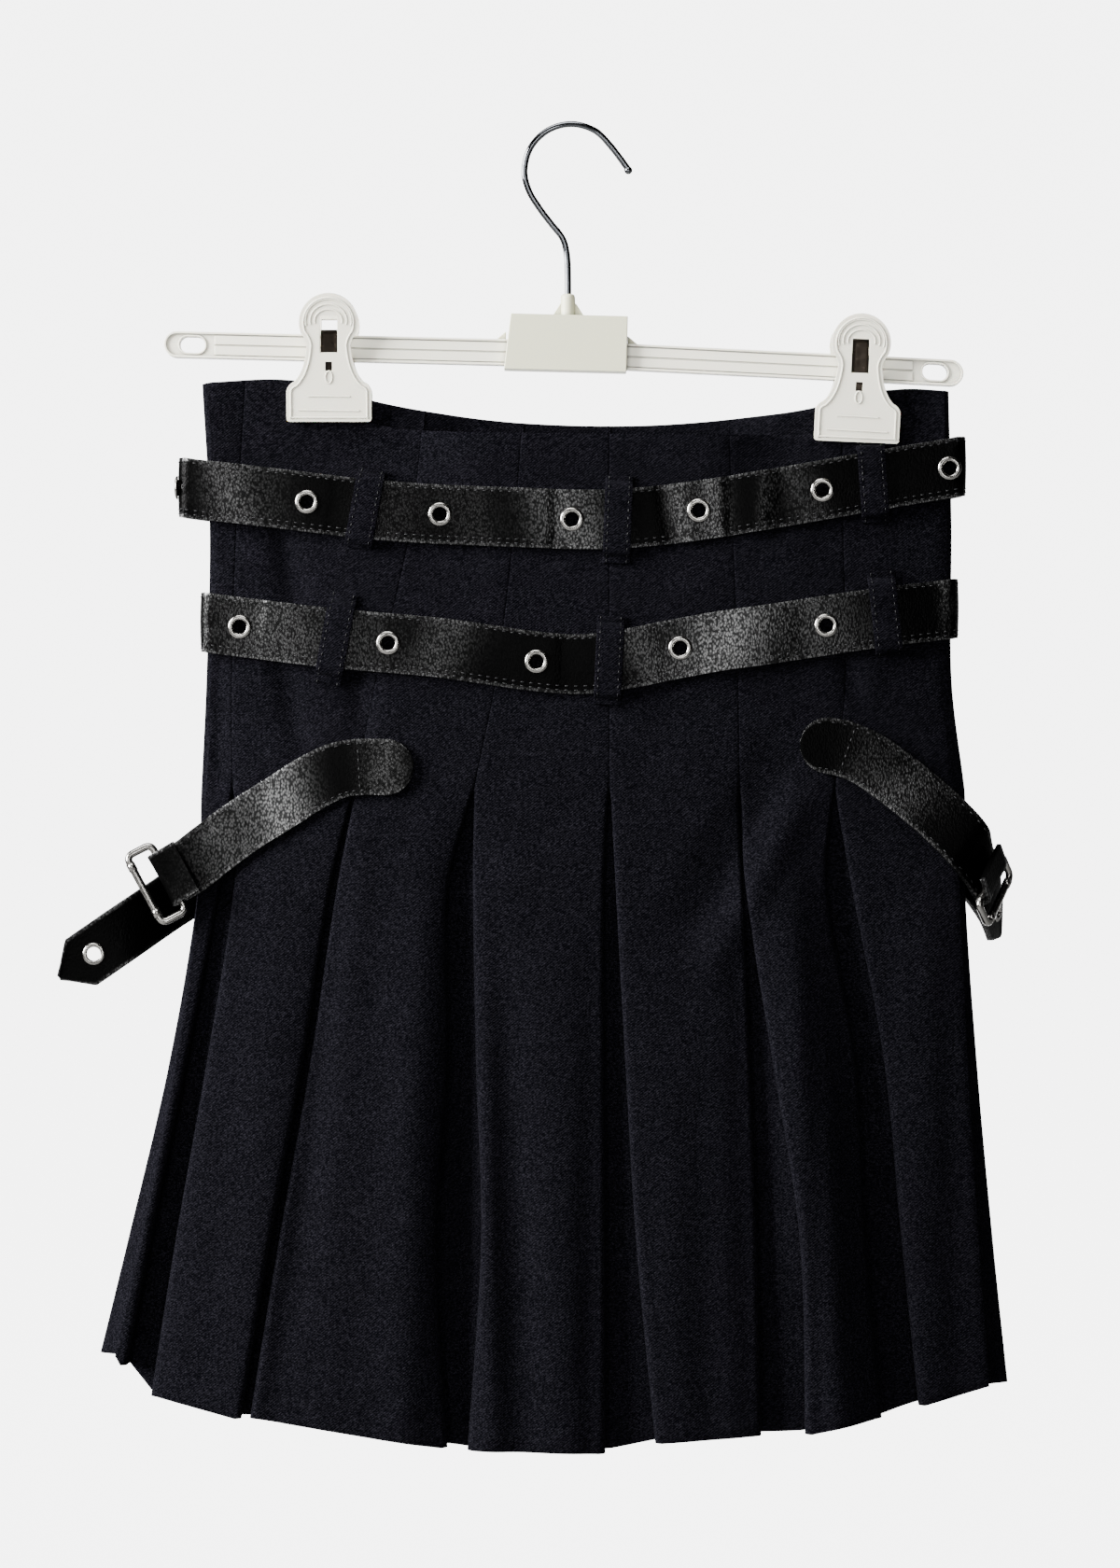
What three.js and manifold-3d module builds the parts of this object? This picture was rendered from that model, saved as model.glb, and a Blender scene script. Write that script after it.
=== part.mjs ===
// A pleated mini skirt of dark twill with two eyelet belts and a buckled strap at each hip,
// clipped by its waist to a plastic hanger with a wire hook.
// Sizes are millimetres. The origin is the inside of the hook's bend, +Z is up and the front faces -Y.
import * as THREE from "three";
import { mergeVertices } from "three/addons/utils/BufferGeometryUtils.js";
import Module from "manifold-3d";

const wasm = await Module();
wasm.setup();

// Cloth and leather
const CLOTH = 1.5;
const SEAM_GAP = 0.3;
const BELT_THICK = 2.4;
const BELT_WIDTH = 28;
const STRAP_THICK = 2.2;
const STRAP_WIDTH = 26.5;
const LOOP_THICK = 1.6;
const LOOP_WIDTH = 13;
const LOOP_MARGIN = 1.5;
const WIRE = 2.6;
const FRONT = -1;
const BACK = 1;

// The gores are sewn together from the waist to PLEAT_TOP, and hang free as pleats below it.
const PLEAT_TOP = -317;
const SEAM_LEVELS = [-122, -190, -262, -317];
const FOLD_LEVELS = [-317, -362, -444, -528, -628];

// One row for each pleat, from left to right: the seam's X at the four seam levels,
// then the X of the two fold edges that face each other at the five fold levels.
const PLEATS = [
  {
    seam: [-155, -159, -161, -160.5],
    left: [-161.1, -167, -182, -198.5, -217.5],
    right: [-159.9, -160, -172.5, -187, -202.5],
  },
  {
    seam: [-69, -76, -92, -103],
    left: [-103.6, -114, -126.5, -141.5, -158],
    right: [-102.4, -111, -123.5, -138, -154],
  },
  {
    seam: [-22, -27, -35.5, -46.5],
    left: [-47.1, -58.5, -58.5, -63.5, -58],
    right: [-45.9, -46.5, -45, -42.5, -49],
  },
  {
    seam: [18, 18, 18, 18],
    left: [17.4, 15.5, 15.5, 16, 16],
    right: [18.6, 21, 25.5, 30.5, 40],
  },
  {
    seam: [74, 76.5, 79, 79.5],
    left: [78.9, 81, 84.5, 87.5, 89.5],
    right: [80.1, 82.5, 95, 107.5, 110],
  },
  {
    seam: [129, 129, 130, 124.5],
    left: [123.9, 121, 134.5, 139, 148],
    right: [125.1, 133, 148, 156, 166],
  },
];

// The two sides: the outermost X, and the X of the pressed ridge just in front of it.
const SIDES = {
  left: {
    edge: [-175.5, -172, -173.5, -176],
    flare: [-176, -177.5, -191, -210.5, -235],
    ridge: [-170, -168, -170, -173],
    ridgeFlare: [-173, -176, -186.5, -202.5, -225.5],
  },
  right: {
    edge: [179.5, 181, 181, 187.5],
    flare: [187.5, 187.5, 193, 200.5, 211],
    ridge: [173, 175, 175, 181],
    ridgeFlare: [181, 183.5, 187, 192, 199],
  },
};

// Half the depth of the skirt at its middle and near its sides, and how far apart pleat layers lie.
const DEPTHS = [
  { z: -122, middle: 7, side: 1.6, layer: 2 },
  { z: -190, middle: 9, side: 1.7, layer: 2 },
  { z: -262, middle: 12, side: 1.9, layer: 2 },
  { z: -317, middle: 15, side: 3.4, layer: 2 },
  { z: -362, middle: 18, side: 8, layer: 2.6 },
  { z: -444, middle: 24, side: 12, layer: 3.6 },
  { z: -528, middle: 30, side: 15, layer: 4.4 },
  { z: -628, middle: 35, side: 17, layer: 5 },
];

// The waist's top edge dips between the clips, and the front dips lower than the back.
const WAIST = [
  { x: -180, front: -124, back: -124 },
  { x: -170, front: -121.5, back: -121.5 },
  { x: -130, front: -121, back: -121 },
  { x: -115, front: -130, back: -125 },
  { x: -95, front: -140.5, back: -130 },
  { x: -69, front: -144.5, back: -135 },
  { x: -20, front: -146, back: -140.5 },
  { x: 35, front: -146.5, back: -141.5 },
  { x: 92, front: -146.5, back: -137 },
  { x: 115, front: -145, back: -133.5 },
  { x: 137, front: -133, back: -127 },
  { x: 150, front: -125.5, back: -125 },
  { x: 178, front: -125.5, back: -125.5 },
  { x: 183, front: -128, back: -128 },
];

// Each gore's hem height at its left and right edge, from left to right.
const HEMS = [
  { left: -583, right: -587 },
  { left: -601.5, right: -611 },
  { left: -611, right: -624.5 },
  { left: -625.5, right: -627 },
  { left: -622, right: -619 },
  { left: -618, right: -611.5 },
  { left: -605.5, right: -597 },
];

// Soft folds in the cloth: each runs from one point to another and stands out by its height.
const SOFT_FOLDS = [
  { fromX: -43, fromZ: -350, toX: -36, toZ: -680, width: 6, height: 2.4 },
  { fromX: -32, fromZ: -370, toX: -20, toZ: -690, width: 9, height: -2.6 },
  { fromX: 104, fromZ: -350, toX: 132, toZ: -690, width: 14, height: 4 },
  { fromX: 102, fromZ: -280, toX: 42, toZ: -395, width: 9, height: -1.8 },
  { fromX: -70, fromZ: -330, toX: -76, toZ: -690, width: 14, height: 3 },
];

// How strongly each clip flattens the waist under it.
const CLIPS = [
  { name: "left", x: -115, tilt: 0, springTop: 8.2 },
  { name: "right", x: 137, tilt: -2.5, springTop: 13.5 },
];
const PINCHED_DEPTH = 0.95;
const PINCH_WIDTH = { full: 33, none: 74 };
const PINCH_HEIGHT = { full: -152, none: -190 };

// Belts: the middle of the strip at points along the front, and the ring that the strip follows.
const BELTS = [
  {
    name: "upper",
    left: -187,
    right: 188,
    roundEnd: 5,
    line: [
      { x: -186, z: -171.5 },
      { x: -136, z: -177.5 },
      { x: -86, z: -183.3 },
      { x: -31, z: -186 },
      { x: 15, z: -187.2 },
      { x: 51, z: -184.2 },
      { x: 99, z: -176.7 },
      { x: 148, z: -168 },
      { x: 186, z: -161.5 },
    ],
    eyelets: [-189, -125.2, -62.1, 0.4, 60.4, 119, 179.5],
  },
  {
    name: "lower",
    left: -176.5,
    right: 184.5,
    roundEnd: 5,
    line: [
      { x: -176, z: -235.5 },
      { x: -117, z: -243 },
      { x: -61, z: -248.2 },
      { x: -16, z: -254.6 },
      { x: 6, z: -255.8 },
      { x: 27, z: -253.2 },
      { x: 60, z: -246.6 },
      { x: 99, z: -240.8 },
      { x: 142, z: -234.2 },
      { x: 184, z: -229 },
    ],
    eyelets: [-157.1, -86.6, -16.4, 51.5, 120.7],
  },
];
const EYELET = { flange: 5.75, hole: 3.3, barrel: 3.9, height: 0.8 };
const BELT_STANDOFF = 0.5;
const BELT_BUCKLE = { x: 4, bars: 24, length: 40 };

// Belt loops of the skirt's own cloth, from the top end to the bottom end.
const LOOPS = [
  { name: "upper_left", belt: 0, topX: -94.3, topZ: -163, bottomX: -101.2, bottomZ: -200.5 },
  { name: "upper_centre", belt: 0, topX: 22.9, topZ: -166.5, bottomX: 21.3, bottomZ: -208 },
  { name: "upper_right", belt: 0, topX: 141.8, topZ: -151.8, bottomX: 144.5, bottomZ: -188.5 },
  { name: "lower_left", belt: 1, topX: -107.6, topZ: -222, bottomX: -115.6, bottomZ: -264.6 },
  { name: "lower_centre", belt: 1, topX: 18.9, topZ: -233, bottomX: 16.9, bottomZ: -275 },
  { name: "lower_right", belt: 1, topX: 146.7, topZ: -211.7, bottomX: 150.9, bottomZ: -251 },
];

// Hip straps. Each row is a point of the strap's middle line; turn swings its face round to the side
// in degrees, and y is given only where the strap has left the cloth.
const STRAPS = [
  {
    name: "front_left",
    side: FRONT,
    path: [
      { x: -101, z: -304.5 },
      { x: -111, z: -306.3 },
      { x: -123, z: -312 },
      { x: -138.5, z: -321.8 },
      { x: -155.4, z: -332.4 },
      { x: -170.5, z: -343.5 },
      { x: -181, z: -351.6, y: -10.4, turn: -8 },
      { x: -190, z: -356.8, y: -8.6, turn: -14 },
    ],
    tabEnd: { x: -74.6, z: -304.5 },
  },
  {
    name: "front_right",
    side: FRONT,
    path: [
      { x: 130, z: -296.1 },
      { x: 141.6, z: -301.4 },
      { x: 158.5, z: -313.6 },
      { x: 170.9, z: -323.8 },
      { x: 180.2, z: -332.4 },
      { x: 188, z: -341, y: -9.8, turn: 22 },
      { x: 193.6, z: -350, y: -3.6, turn: 48 },
      { x: 196.8, z: -358, y: 2.2, turn: 62 },
    ],
    tabEnd: { x: 108.3, z: -294.3 },
  },
  {
    name: "back_left",
    side: BACK,
    path: [
      { x: -101, z: -304.5 },
      { x: -111, z: -307.5 },
      { x: -123, z: -315 },
      { x: -140, z: -329 },
      { x: -160, z: -345 },
      { x: -173, z: -355.4 },
      { x: -184, z: -363.4, y: 12, turn: -14 },
      { x: -194, z: -370.2, y: 7.4, turn: -26 },
      { x: -206, z: -378.6, y: 1.6, turn: -22 },
      { x: -218, z: -387, y: -2.4, turn: -4 },
      { x: -233, z: -397.4, y: -3.4, turn: -4 },
    ],
    tabEnd: { x: -74.6, z: -304.5 },
    eyeletAt: { x: -226.8, z: -393.2, y: -3.1 },
    point: 12.5,
  },
  {
    name: "back_right",
    side: BACK,
    path: [
      { x: 130, z: -296.1 },
      { x: 141.6, z: -301.4 },
      { x: 158.5, z: -314.4 },
      { x: 170.9, z: -326 },
      { x: 181, z: -337 },
      { x: 189.6, z: -348, y: 13.4, turn: -8 },
      { x: 196, z: -358, y: 17, turn: -34 },
      { x: 201, z: -368, y: 25, turn: -56 },
      { x: 204.6, z: -378, y: 36, turn: -66 },
    ],
    tabEnd: { x: 108.3, z: -294.3 },
    eyeletAt: { x: 203.1, z: -373.6, y: 31.2 },
    point: 12.5,
  },
];
const TAB_ROUNDING = [0.04, 0.15, 0.4, 1];
const HEEL_RADIUS = WIRE / 2 + 0.6 + STRAP_THICK / 2;
const HEEL_FOLD = 11;
const HIP_BUCKLE = { bars: 13, length: 36, corner: 3 };

// Hanger
const HOOK = { wire: 3, bend: 22.2, tipX: 27.2, tipZ: -20.5, stemX: -1.5, stemBottom: -97 };
const BAR = { leftX: -193.5, leftZ: -103.4, middleZ: -108, rightX: 186.4, rightZ: -117.4, height: 12.4, depth: 8 };
const BAR_SLOPE = 2.1;
const BAR_EYE = { inset: 7.5, length: 12, height: 7.6 };
const BLOCK = { left: -31, right: 26.8, top: -89.8, bottom: -116.2, depth: 14, tilt: -1.4 };
const COLLAR = { radius: 3.4, top: -79.5 };
const CLEARANCE = 0.3;
const LEVER = {
  thick: 2.4,
  top: 26.2,
  bottom: -34.8,
  headRadius: 14,
  neck: 10.4,
  neckZ: 1.5,
  jaw: 20.2,
  jawTop: -20,
  slope: 9.1,
  grip: 1.95,
};
const WINDOW = { halfWidth: 4.2, top: 15.5, bottom: -2 };
const SLOT = { halfWidth: 1.6, top: -6.3, bottom: -10.6 };
const SPRING = { width: 8, thick: 0.8, halfDepth: 4.9, bottom: -11, shoulder: 1.2 };

const FINISH = {
  twill: { color: 0x17171c, roughness: 0.95, metalness: 0 },
  leather: { color: 0x101011, roughness: 0.45, metalness: 0 },
  nickel: { color: 0xc9c9c6, roughness: 0.22, metalness: 1 },
  plastic: { color: 0xe8e6df, roughness: 0.45, metalness: 0 },
  block: { color: 0xdcdad0, roughness: 0.5, metalness: 0 },
  chrome: { color: 0xb4b6ba, roughness: 0.12, metalness: 1 },
  spring: { color: 0x6a665f, roughness: 0.35, metalness: 1 },
};

const { clamp, lerp, smoothstep, degToRad } = THREE.MathUtils;
const skirt = new THREE.Group();

// A value read from a table by a smooth curve through its rows.
function curveValue(levels, values, at) {
  const rising = levels[1] > levels[0];
  const last = levels.length - 1;
  let i = 0;
  while (i < last - 1 && (rising ? at > levels[i + 1] : at < levels[i + 1])) i += 1;
  const span = levels[i + 1] - levels[i];
  const t = clamp((at - levels[i]) / span, 0, 1);
  const slope = (k) => {
    const before = Math.max(k - 1, 0);
    const after = Math.min(k + 1, last);
    return (values[after] - values[before]) / (levels[after] - levels[before]);
  };
  const a = 2 * t ** 3 - 3 * t ** 2 + 1;
  const b = t ** 3 - 2 * t ** 2 + t;
  const c = t ** 3 - t ** 2;
  return a * values[i] + b * span * slope(i) + (1 - a) * values[i + 1] + c * span * slope(i + 1);
}

function column(rows, key, name, at) {
  return curveValue(
    rows.map((row) => row[key]),
    rows.map((row) => row[name]),
    at,
  );
}

// The outermost X or the ridge's X of one side at a height.
function sideX(side, what, z) {
  const flare = what === "edge" ? "flare" : "ridgeFlare";
  return z > PLEAT_TOP
    ? curveValue(SEAM_LEVELS, SIDES[side][what], z)
    : curveValue(FOLD_LEVELS, SIDES[side][flare], z);
}

// Half the depth of the skirt's lens-shaped section, before clips and soft folds.
function lensDepth(x, z) {
  const left = sideX("left", "edge", z);
  const right = sideX("right", "edge", z);
  const share = clamp(Math.abs((2 * x - left - right) / (right - left)), 0, 1);
  const side = column(DEPTHS, "z", "side", z);
  return side + (column(DEPTHS, "z", "middle", z) - side) * (1 - share ** 2.6);
}

function pinch(x, z) {
  const across = Math.max(
    ...CLIPS.map((clip) => 1 - smoothstep(Math.abs(x - clip.x), PINCH_WIDTH.full, PINCH_WIDTH.none)),
  );
  return across * smoothstep(z, PINCH_HEIGHT.none, PINCH_HEIGHT.full);
}

function softFolds(x, z) {
  let sum = 0;
  for (const fold of SOFT_FOLDS) {
    const along = (z - fold.fromZ) / (fold.toZ - fold.fromZ);
    if (along <= 0 || along >= 1) continue;
    const away = (x - lerp(fold.fromX, fold.toX, along)) / fold.width;
    sum += fold.height * Math.sin(Math.PI * along) ** 0.7 * Math.exp(-away * away);
  }
  return sum;
}

// The middle of the cloth wall, as a distance from the plane y = 0.
function clothDepth(x, z) {
  return lerp(lensDepth(x, z), PINCHED_DEPTH, pinch(x, z)) + softFolds(x, z);
}

function waistTop(side, x) {
  return column(WAIST, "x", side === FRONT ? "front" : "back", x);
}

// Where a flat strip can rest on a surface: the surface's slopes at a point, and a depth lifted
// until a plane with those slopes clears the surface within reach of the point.
function seatOn(depthAt, x, z, reachX, reachZ) {
  const slopeX = (depthAt(x + reachX, z) - depthAt(x - reachX, z)) / (2 * reachX);
  const slopeZ = (depthAt(x, z + reachZ) - depthAt(x, z - reachZ)) / (2 * reachZ);
  let depth = depthAt(x, z);
  for (const i of [-1, -0.5, 0, 0.5, 1]) {
    for (const j of [-1, -0.5, 0, 0.5, 1]) {
      const dx = i * reachX;
      const dz = j * reachZ;
      depth = Math.max(depth, depthAt(x + dx, z + dz) - slopeX * dx - slopeZ * dz);
    }
  }
  return { depth, slopeX, slopeZ };
}

function clothFace(x, z) {
  return clothDepth(x, z) + CLOTH / 2;
}

// A closed wall round a grid of points. Rows run down and columns run across; a cell is built
// where present(row, column) is true.
function wall(points, normals, thick, present) {
  const rows = points.length;
  const columns = points[0].length;
  const positions = [];
  for (const [r, row] of points.entries()) {
    for (const [c, point] of row.entries()) {
      const outer = point.clone().addScaledVector(normals[r][c], thick / 2);
      const inner = point.clone().addScaledVector(normals[r][c], -thick / 2);
      positions.push(...outer, ...inner);
    }
  }
  const built = (r, c) => r >= 0 && c >= 0 && r < rows - 1 && c < columns - 1 && present(r, c);
  const outer = (r, c) => 2 * (r * columns + c);
  const inner = (r, c) => outer(r, c) + 1;
  const index = [];
  const quad = (a, b, c, d) => index.push(a, b, c, a, c, d);
  for (let r = 0; r < rows - 1; r += 1) {
    for (let c = 0; c < columns - 1; c += 1) {
      if (!built(r, c)) continue;
      index.push(outer(r, c), outer(r + 1, c), outer(r + 1, c + 1));
      index.push(outer(r, c), outer(r + 1, c + 1), outer(r, c + 1));
      index.push(inner(r, c), inner(r + 1, c + 1), inner(r + 1, c));
      index.push(inner(r, c), inner(r, c + 1), inner(r + 1, c + 1));
      if (!built(r, c - 1)) quad(outer(r, c), inner(r, c), inner(r + 1, c), outer(r + 1, c));
      if (!built(r, c + 1)) {
        quad(outer(r, c + 1), outer(r + 1, c + 1), inner(r + 1, c + 1), inner(r, c + 1));
      }
      if (!built(r - 1, c)) quad(outer(r, c), outer(r, c + 1), inner(r, c + 1), inner(r, c));
      if (!built(r + 1, c)) {
        quad(outer(r + 1, c), inner(r + 1, c), inner(r + 1, c + 1), outer(r + 1, c + 1));
      }
    }
  }
  return facingOut(closedGeometry(positions, index));
}

function closedGeometry(positions, index) {
  const loose = new THREE.BufferGeometry();
  loose.setAttribute("position", new THREE.Float32BufferAttribute(positions, 3));
  loose.setIndex(index);
  const used = loose.toNonIndexed();
  return mergeVertices(used, 1e-4);
}

function volumeOf(geometry) {
  const at = geometry.getAttribute("position");
  const corners = [new THREE.Vector3(), new THREE.Vector3(), new THREE.Vector3()];
  let sum = 0;
  for (let i = 0; i < geometry.index.count; i += 3) {
    corners.forEach((corner, k) => corner.fromBufferAttribute(at, geometry.index.getX(i + k)));
    sum += corners[0].dot(corners[1].clone().cross(corners[2]));
  }
  return sum / 6;
}

function facingOut(geometry) {
  if (volumeOf(geometry) > 0) return geometry;
  const index = geometry.index;
  for (let i = 0; i < index.count; i += 3) {
    const second = index.getX(i + 1);
    index.setX(i + 1, index.getX(i + 2));
    index.setX(i + 2, second);
  }
  return geometry;
}

// Joins and cuts
function solidOf(geometry) {
  const bare = geometry.clone();
  bare.deleteAttribute("normal");
  bare.deleteAttribute("uv");
  const merged = mergeVertices(bare, 1e-4);
  return new wasm.Manifold(
    new wasm.Mesh({
      numProp: 3,
      vertProperties: merged.getAttribute("position").array,
      triVerts: new Uint32Array(merged.index.array),
    }),
  );
}

function geometryOf(solid) {
  const mesh = solid.getMesh();
  const geometry = new THREE.BufferGeometry();
  geometry.setAttribute("position", new THREE.BufferAttribute(mesh.vertProperties, 3));
  geometry.setIndex(new THREE.BufferAttribute(mesh.triVerts, 1));
  return geometry;
}

function cut(geometry, ...tools) {
  return geometryOf(tools.reduce((solid, tool) => solid.subtract(solidOf(tool)), solidOf(geometry)));
}

function join(geometry, ...others) {
  return geometryOf(others.reduce((solid, other) => solid.add(solidOf(other)), solidOf(geometry)));
}

function place(name, geometry, finish) {
  const shown = geometry.index ? geometry.toNonIndexed() : geometry;
  shown.computeVertexNormals();
  const mesh = new THREE.Mesh(shown, new THREE.MeshStandardMaterial(FINISH[finish]));
  mesh.name = name;
  skirt.add(mesh);
  return mesh;
}

// Gores
const UPPER_LEVELS = [-153, -198, -255];
const UPPER_ROWS = UPPER_LEVELS.length + 1;
const LOWER_ROWS = [0, 0.1, 0.24, 0.44, 0.64, 0.83, 1];
const FACE_COLUMNS = { front: 6, back: 4 };
const RETURN_WIDTH = { top: 9, hem: 24 };
const RETURN_SHARE = 0.42;
const HOLLOW_SHARE = 0.5;

function foldEdge(pleat, edge, z) {
  if (z > PLEAT_TOP) {
    const half = edge === "left" ? -SEAM_GAP / 2 : SEAM_GAP / 2;
    return curveValue(SEAM_LEVELS, pleat.seam, z) + half;
  }
  return curveValue(FOLD_LEVELS, pleat[edge], z);
}

function layerStep(z) {
  return column(DEPTHS, "z", "layer", z);
}

// The width of cloth that turns under a gore of this width at this height.
function returnWidth(goreWidth, z) {
  const down = (PLEAT_TOP - z) / (PLEAT_TOP - FOLD_LEVELS.at(-1));
  return Math.min(lerp(RETURN_WIDTH.top, RETURN_WIDTH.hem, down), RETURN_SHARE * goreWidth);
}

function goreWidth(index, z) {
  if (index === 0 || index === PLEATS.length) return Infinity;
  return foldEdge(PLEATS[index], "left", z) - foldEdge(PLEATS[index - 1], "right", z);
}

// A column of a gore's grid: its point at a height, where it ends, and whether it reaches the waist.
function goreColumn(side, place, hem, full = true) {
  const at = (z) => {
    const { x, layers = 0 } = place(z);
    return { x, y: side * (clothDepth(x, z) - layers * layerStep(z)) };
  };
  return { side, at, hem, full };
}

// From the end of the underlay or of the turned-under edge to the fold, for one edge of a gore.
// toward is +1 where the face lies at larger X than the fold, and -1 where it lies at smaller X.
function foldedEdge(side, index, pleatIndex, toward, hem) {
  const pleat = PLEATS[pleatIndex];
  const mine = toward > 0 ? "right" : "left";
  const other = toward > 0 ? "left" : "right";
  const radius = (z) => layerStep(z) / 2;
  const edge = (z) => foldEdge(pleat, mine, z);
  const under = (z) => returnWidth(goreWidth(index, z), z);
  const folded = (z) => z <= PLEAT_TOP + 0.01;
  const inset = (z) => toward * (CLOTH / 2 + radius(z));
  const fold = goreColumn(
    side,
    (z) => (folded(z) ? { x: edge(z) + (toward * CLOTH) / 2, layers: 0.5 } : { x: edge(z) }),
    hem,
  );
  const faceStart = goreColumn(side, (z) => ({ x: edge(z) + inset(z) }), hem);
  const shared = (place, lift) => goreColumn(side, place, hem + lift, false);
  if (toward > 0) {
    return [
      shared((z) => ({ x: edge(z) + toward * under(z), layers: 1 }), 2),
      shared((z) => ({ x: edge(z) + inset(z), layers: 1 }), 1),
      fold,
      faceStart,
    ];
  }
  const beyond = (z) => foldEdge(pleat, other, z) + returnWidth(goreWidth(index + 1, z), z);
  const start = (z) => edge(z) - under(z);
  const underlay = [
    shared((z) => ({ x: beyond(z), layers: 2 }), 4),
    shared((z) => ({ x: (edge(z) + foldEdge(pleat, other, z)) / 2, layers: 2 }), 4),
  ];
  if (index === 0) {
    return [
      ...underlay,
      shared((z) => ({ x: edge(z) + 0.6, layers: 2 }), 3),
      shared((z) => ({ x: edge(z) - CLOTH / 2, layers: 1.2 }), 1),
      fold,
      faceStart,
    ];
  }
  return [
    ...underlay,
    shared((z) => ({ x: start(z), layers: 2 }), 3),
    shared((z) => ({ x: start(z) - radius(z), layers: 1.5 }), 3),
    shared((z) => ({ x: start(z), layers: 1 }), 2),
    shared((z) => ({ x: edge(z) + inset(z), layers: 1 }), 1),
    fold,
    faceStart,
  ];
}

function faceColumns(side, index, from, to, hems, count) {
  const columns = [];
  for (let i = 1; i < count; i += 1) {
    const share = i / count;
    const hem = lerp(hems.left, hems.right, share);
    columns.push(goreColumn(side, (z) => ({ x: lerp(from(z), to(z), share) }), hem));
  }
  return columns;
}

// A gore between two pleats: turned-under edge, face, turned-under edge and underlay.
function middleGore(side, index) {
  const hems = HEMS[index];
  const start = foldedEdge(side, index, index - 1, 1, hems.left);
  const end = foldedEdge(side, index, index, -1, hems.right).reverse();
  const from = (z) => start.at(-1).at(z).x;
  const to = (z) => end[0].at(z).x;
  const count = side === FRONT ? FACE_COLUMNS.front : FACE_COLUMNS.back;
  return [...start, ...faceColumns(side, index, from, to, hems, count), ...end];
}

// How far the side's form has changed from a flat turn to a ridge and a hollow.
function flared(z) {
  return 1 - smoothstep(z, -400, PLEAT_TOP);
}

// Half of a side gore, from its fold to the outermost line: face, ridge, hollow.
function halfSide(side, name, index) {
  const left = name === "left";
  const inward = left ? 1 : -1;
  const hems = HEMS[index];
  const edgeHem = left ? hems.right : hems.left;
  const outHem = left ? hems.left : hems.right;
  const pleat = left ? 0 : PLEATS.length - 1;
  const start = foldedEdge(side, index, pleat, -inward, edgeHem);
  const from = (z) => start.at(-1).at(z).x;
  const ridge = (z) => sideX(name, "ridge", z);
  const face = faceColumns(side, index, from, ridge, { left: edgeHem, right: outHem }, left ? 2 : 4);
  const edgeX = (z) => sideX(name, "edge", z) + (inward * CLOTH) / 2;
  const inner = (z) => lerp(1.3, HOLLOW_SHARE * clothDepth(ridge(z), z), flared(z));
  const ridgeColumn = {
    at: (z) => ({ x: ridge(z), y: side * clothDepth(ridge(z), z) }),
    hem: outHem - 1,
    full: true,
    side,
  };
  const hollow = {
    at: (z) => {
      const flatX = edgeX(z) + inward * 1.6;
      const x = lerp(flatX, ridge(z) + inward * 1.2, flared(z));
      return { x, y: side * inner(z) };
    },
    hem: outHem,
    full: true,
    side,
  };
  const out = { at: (z) => ({ x: edgeX(z), y: 0 }), hem: outHem, full: true, side };
  return { columns: [...start, ...face, ridgeColumn, hollow], out };
}

function sideGore(name, index) {
  const front = halfSide(FRONT, name, index);
  const back = halfSide(BACK, name, index);
  return [...front.columns, front.out, ...back.columns.reverse()];
}

// The height of a column at each row, and its point there.
function goreGrid(columns) {
  const heights = (entry) => [
    waistTop(entry.side, entry.at(-130).x),
    ...UPPER_LEVELS,
    ...LOWER_ROWS.map((share) => lerp(PLEAT_TOP, entry.hem, share)),
  ];
  const stacks = columns.map((entry) =>
    heights(entry).map((z) => {
      const { x, y } = entry.at(z);
      return new THREE.Vector3(x, y, z);
    }),
  );
  return stacks[0].map((first, r) => stacks.map((stack) => stack[r]));
}

// Mitred directions across the wall, worked out in the row's own path through the columns in use.
function rowNormals(row, inUse) {
  const used = row.map((point, i) => i).filter((i) => inUse[i]);
  const normals = row.map(() => new THREE.Vector3(0, 1, 0));
  const across = (a, b) => new THREE.Vector2(b.y - a.y, a.x - b.x).normalize();
  used.forEach((i, k) => {
    const before = k > 0 ? across(row[used[k - 1]], row[i]) : null;
    const after = k < used.length - 1 ? across(row[i], row[used[k + 1]]) : null;
    const first = before ?? after;
    const second = after ?? before;
    const mean = first.clone().add(second).normalize();
    const stretch = 1 / Math.max(mean.dot(first), 0.62);
    normals[i].set(mean.x * stretch, mean.y * stretch, 0);
  });
  return normals;
}

function makeGore(name, columns) {
  const points = goreGrid(columns);
  const full = columns.map((entry) => entry.full);
  const all = columns.map(() => true);
  const normals = points.map((row, r) => rowNormals(row, r < UPPER_ROWS ? full : all));
  const present = (r, c) => r >= UPPER_ROWS || (full[c] && full[c + 1]);
  place(name, wall(points, normals, CLOTH, present), "twill");
}

function makeGores() {
  makeGore("side_gore_left", sideGore("left", 0));
  for (let index = 1; index < PLEATS.length; index += 1) {
    makeGore(`front_gore_${index}`, middleGore(FRONT, index));
    makeGore(`back_gore_${index}`, middleGore(BACK, index));
  }
  makeGore("side_gore_right", sideGore("right", PLEATS.length));
}

// Strips of leather and cloth
// Each station has a point, the direction of the strip's width and the direction that its face looks.
function strip(stations, thick) {
  const points = stations.map(({ at, across, half }) => [
    at.clone().addScaledVector(across, half),
    at.clone().addScaledVector(across, -half),
  ]);
  const normals = stations.map(({ face }) => [face, face]);
  return wall(points, normals, thick, () => true);
}

// Stations along a line of points, with each face turned square to the line.
function stationsAlong(points, faces, halves) {
  return points.map((at, i) => {
    const before = points[Math.max(i - 1, 0)];
    const after = points[Math.min(i + 1, points.length - 1)];
    const along = after.clone().sub(before).normalize();
    const face = faces[i].clone().addScaledVector(along, -faces[i].dot(along)).normalize();
    const across = new THREE.Vector3().crossVectors(along, face).normalize();
    return { at, along, face, across, half: halves[i] };
  });
}

// Belts
function beltZ(belt, x) {
  return column(belt.line, "x", "z", x);
}

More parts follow.
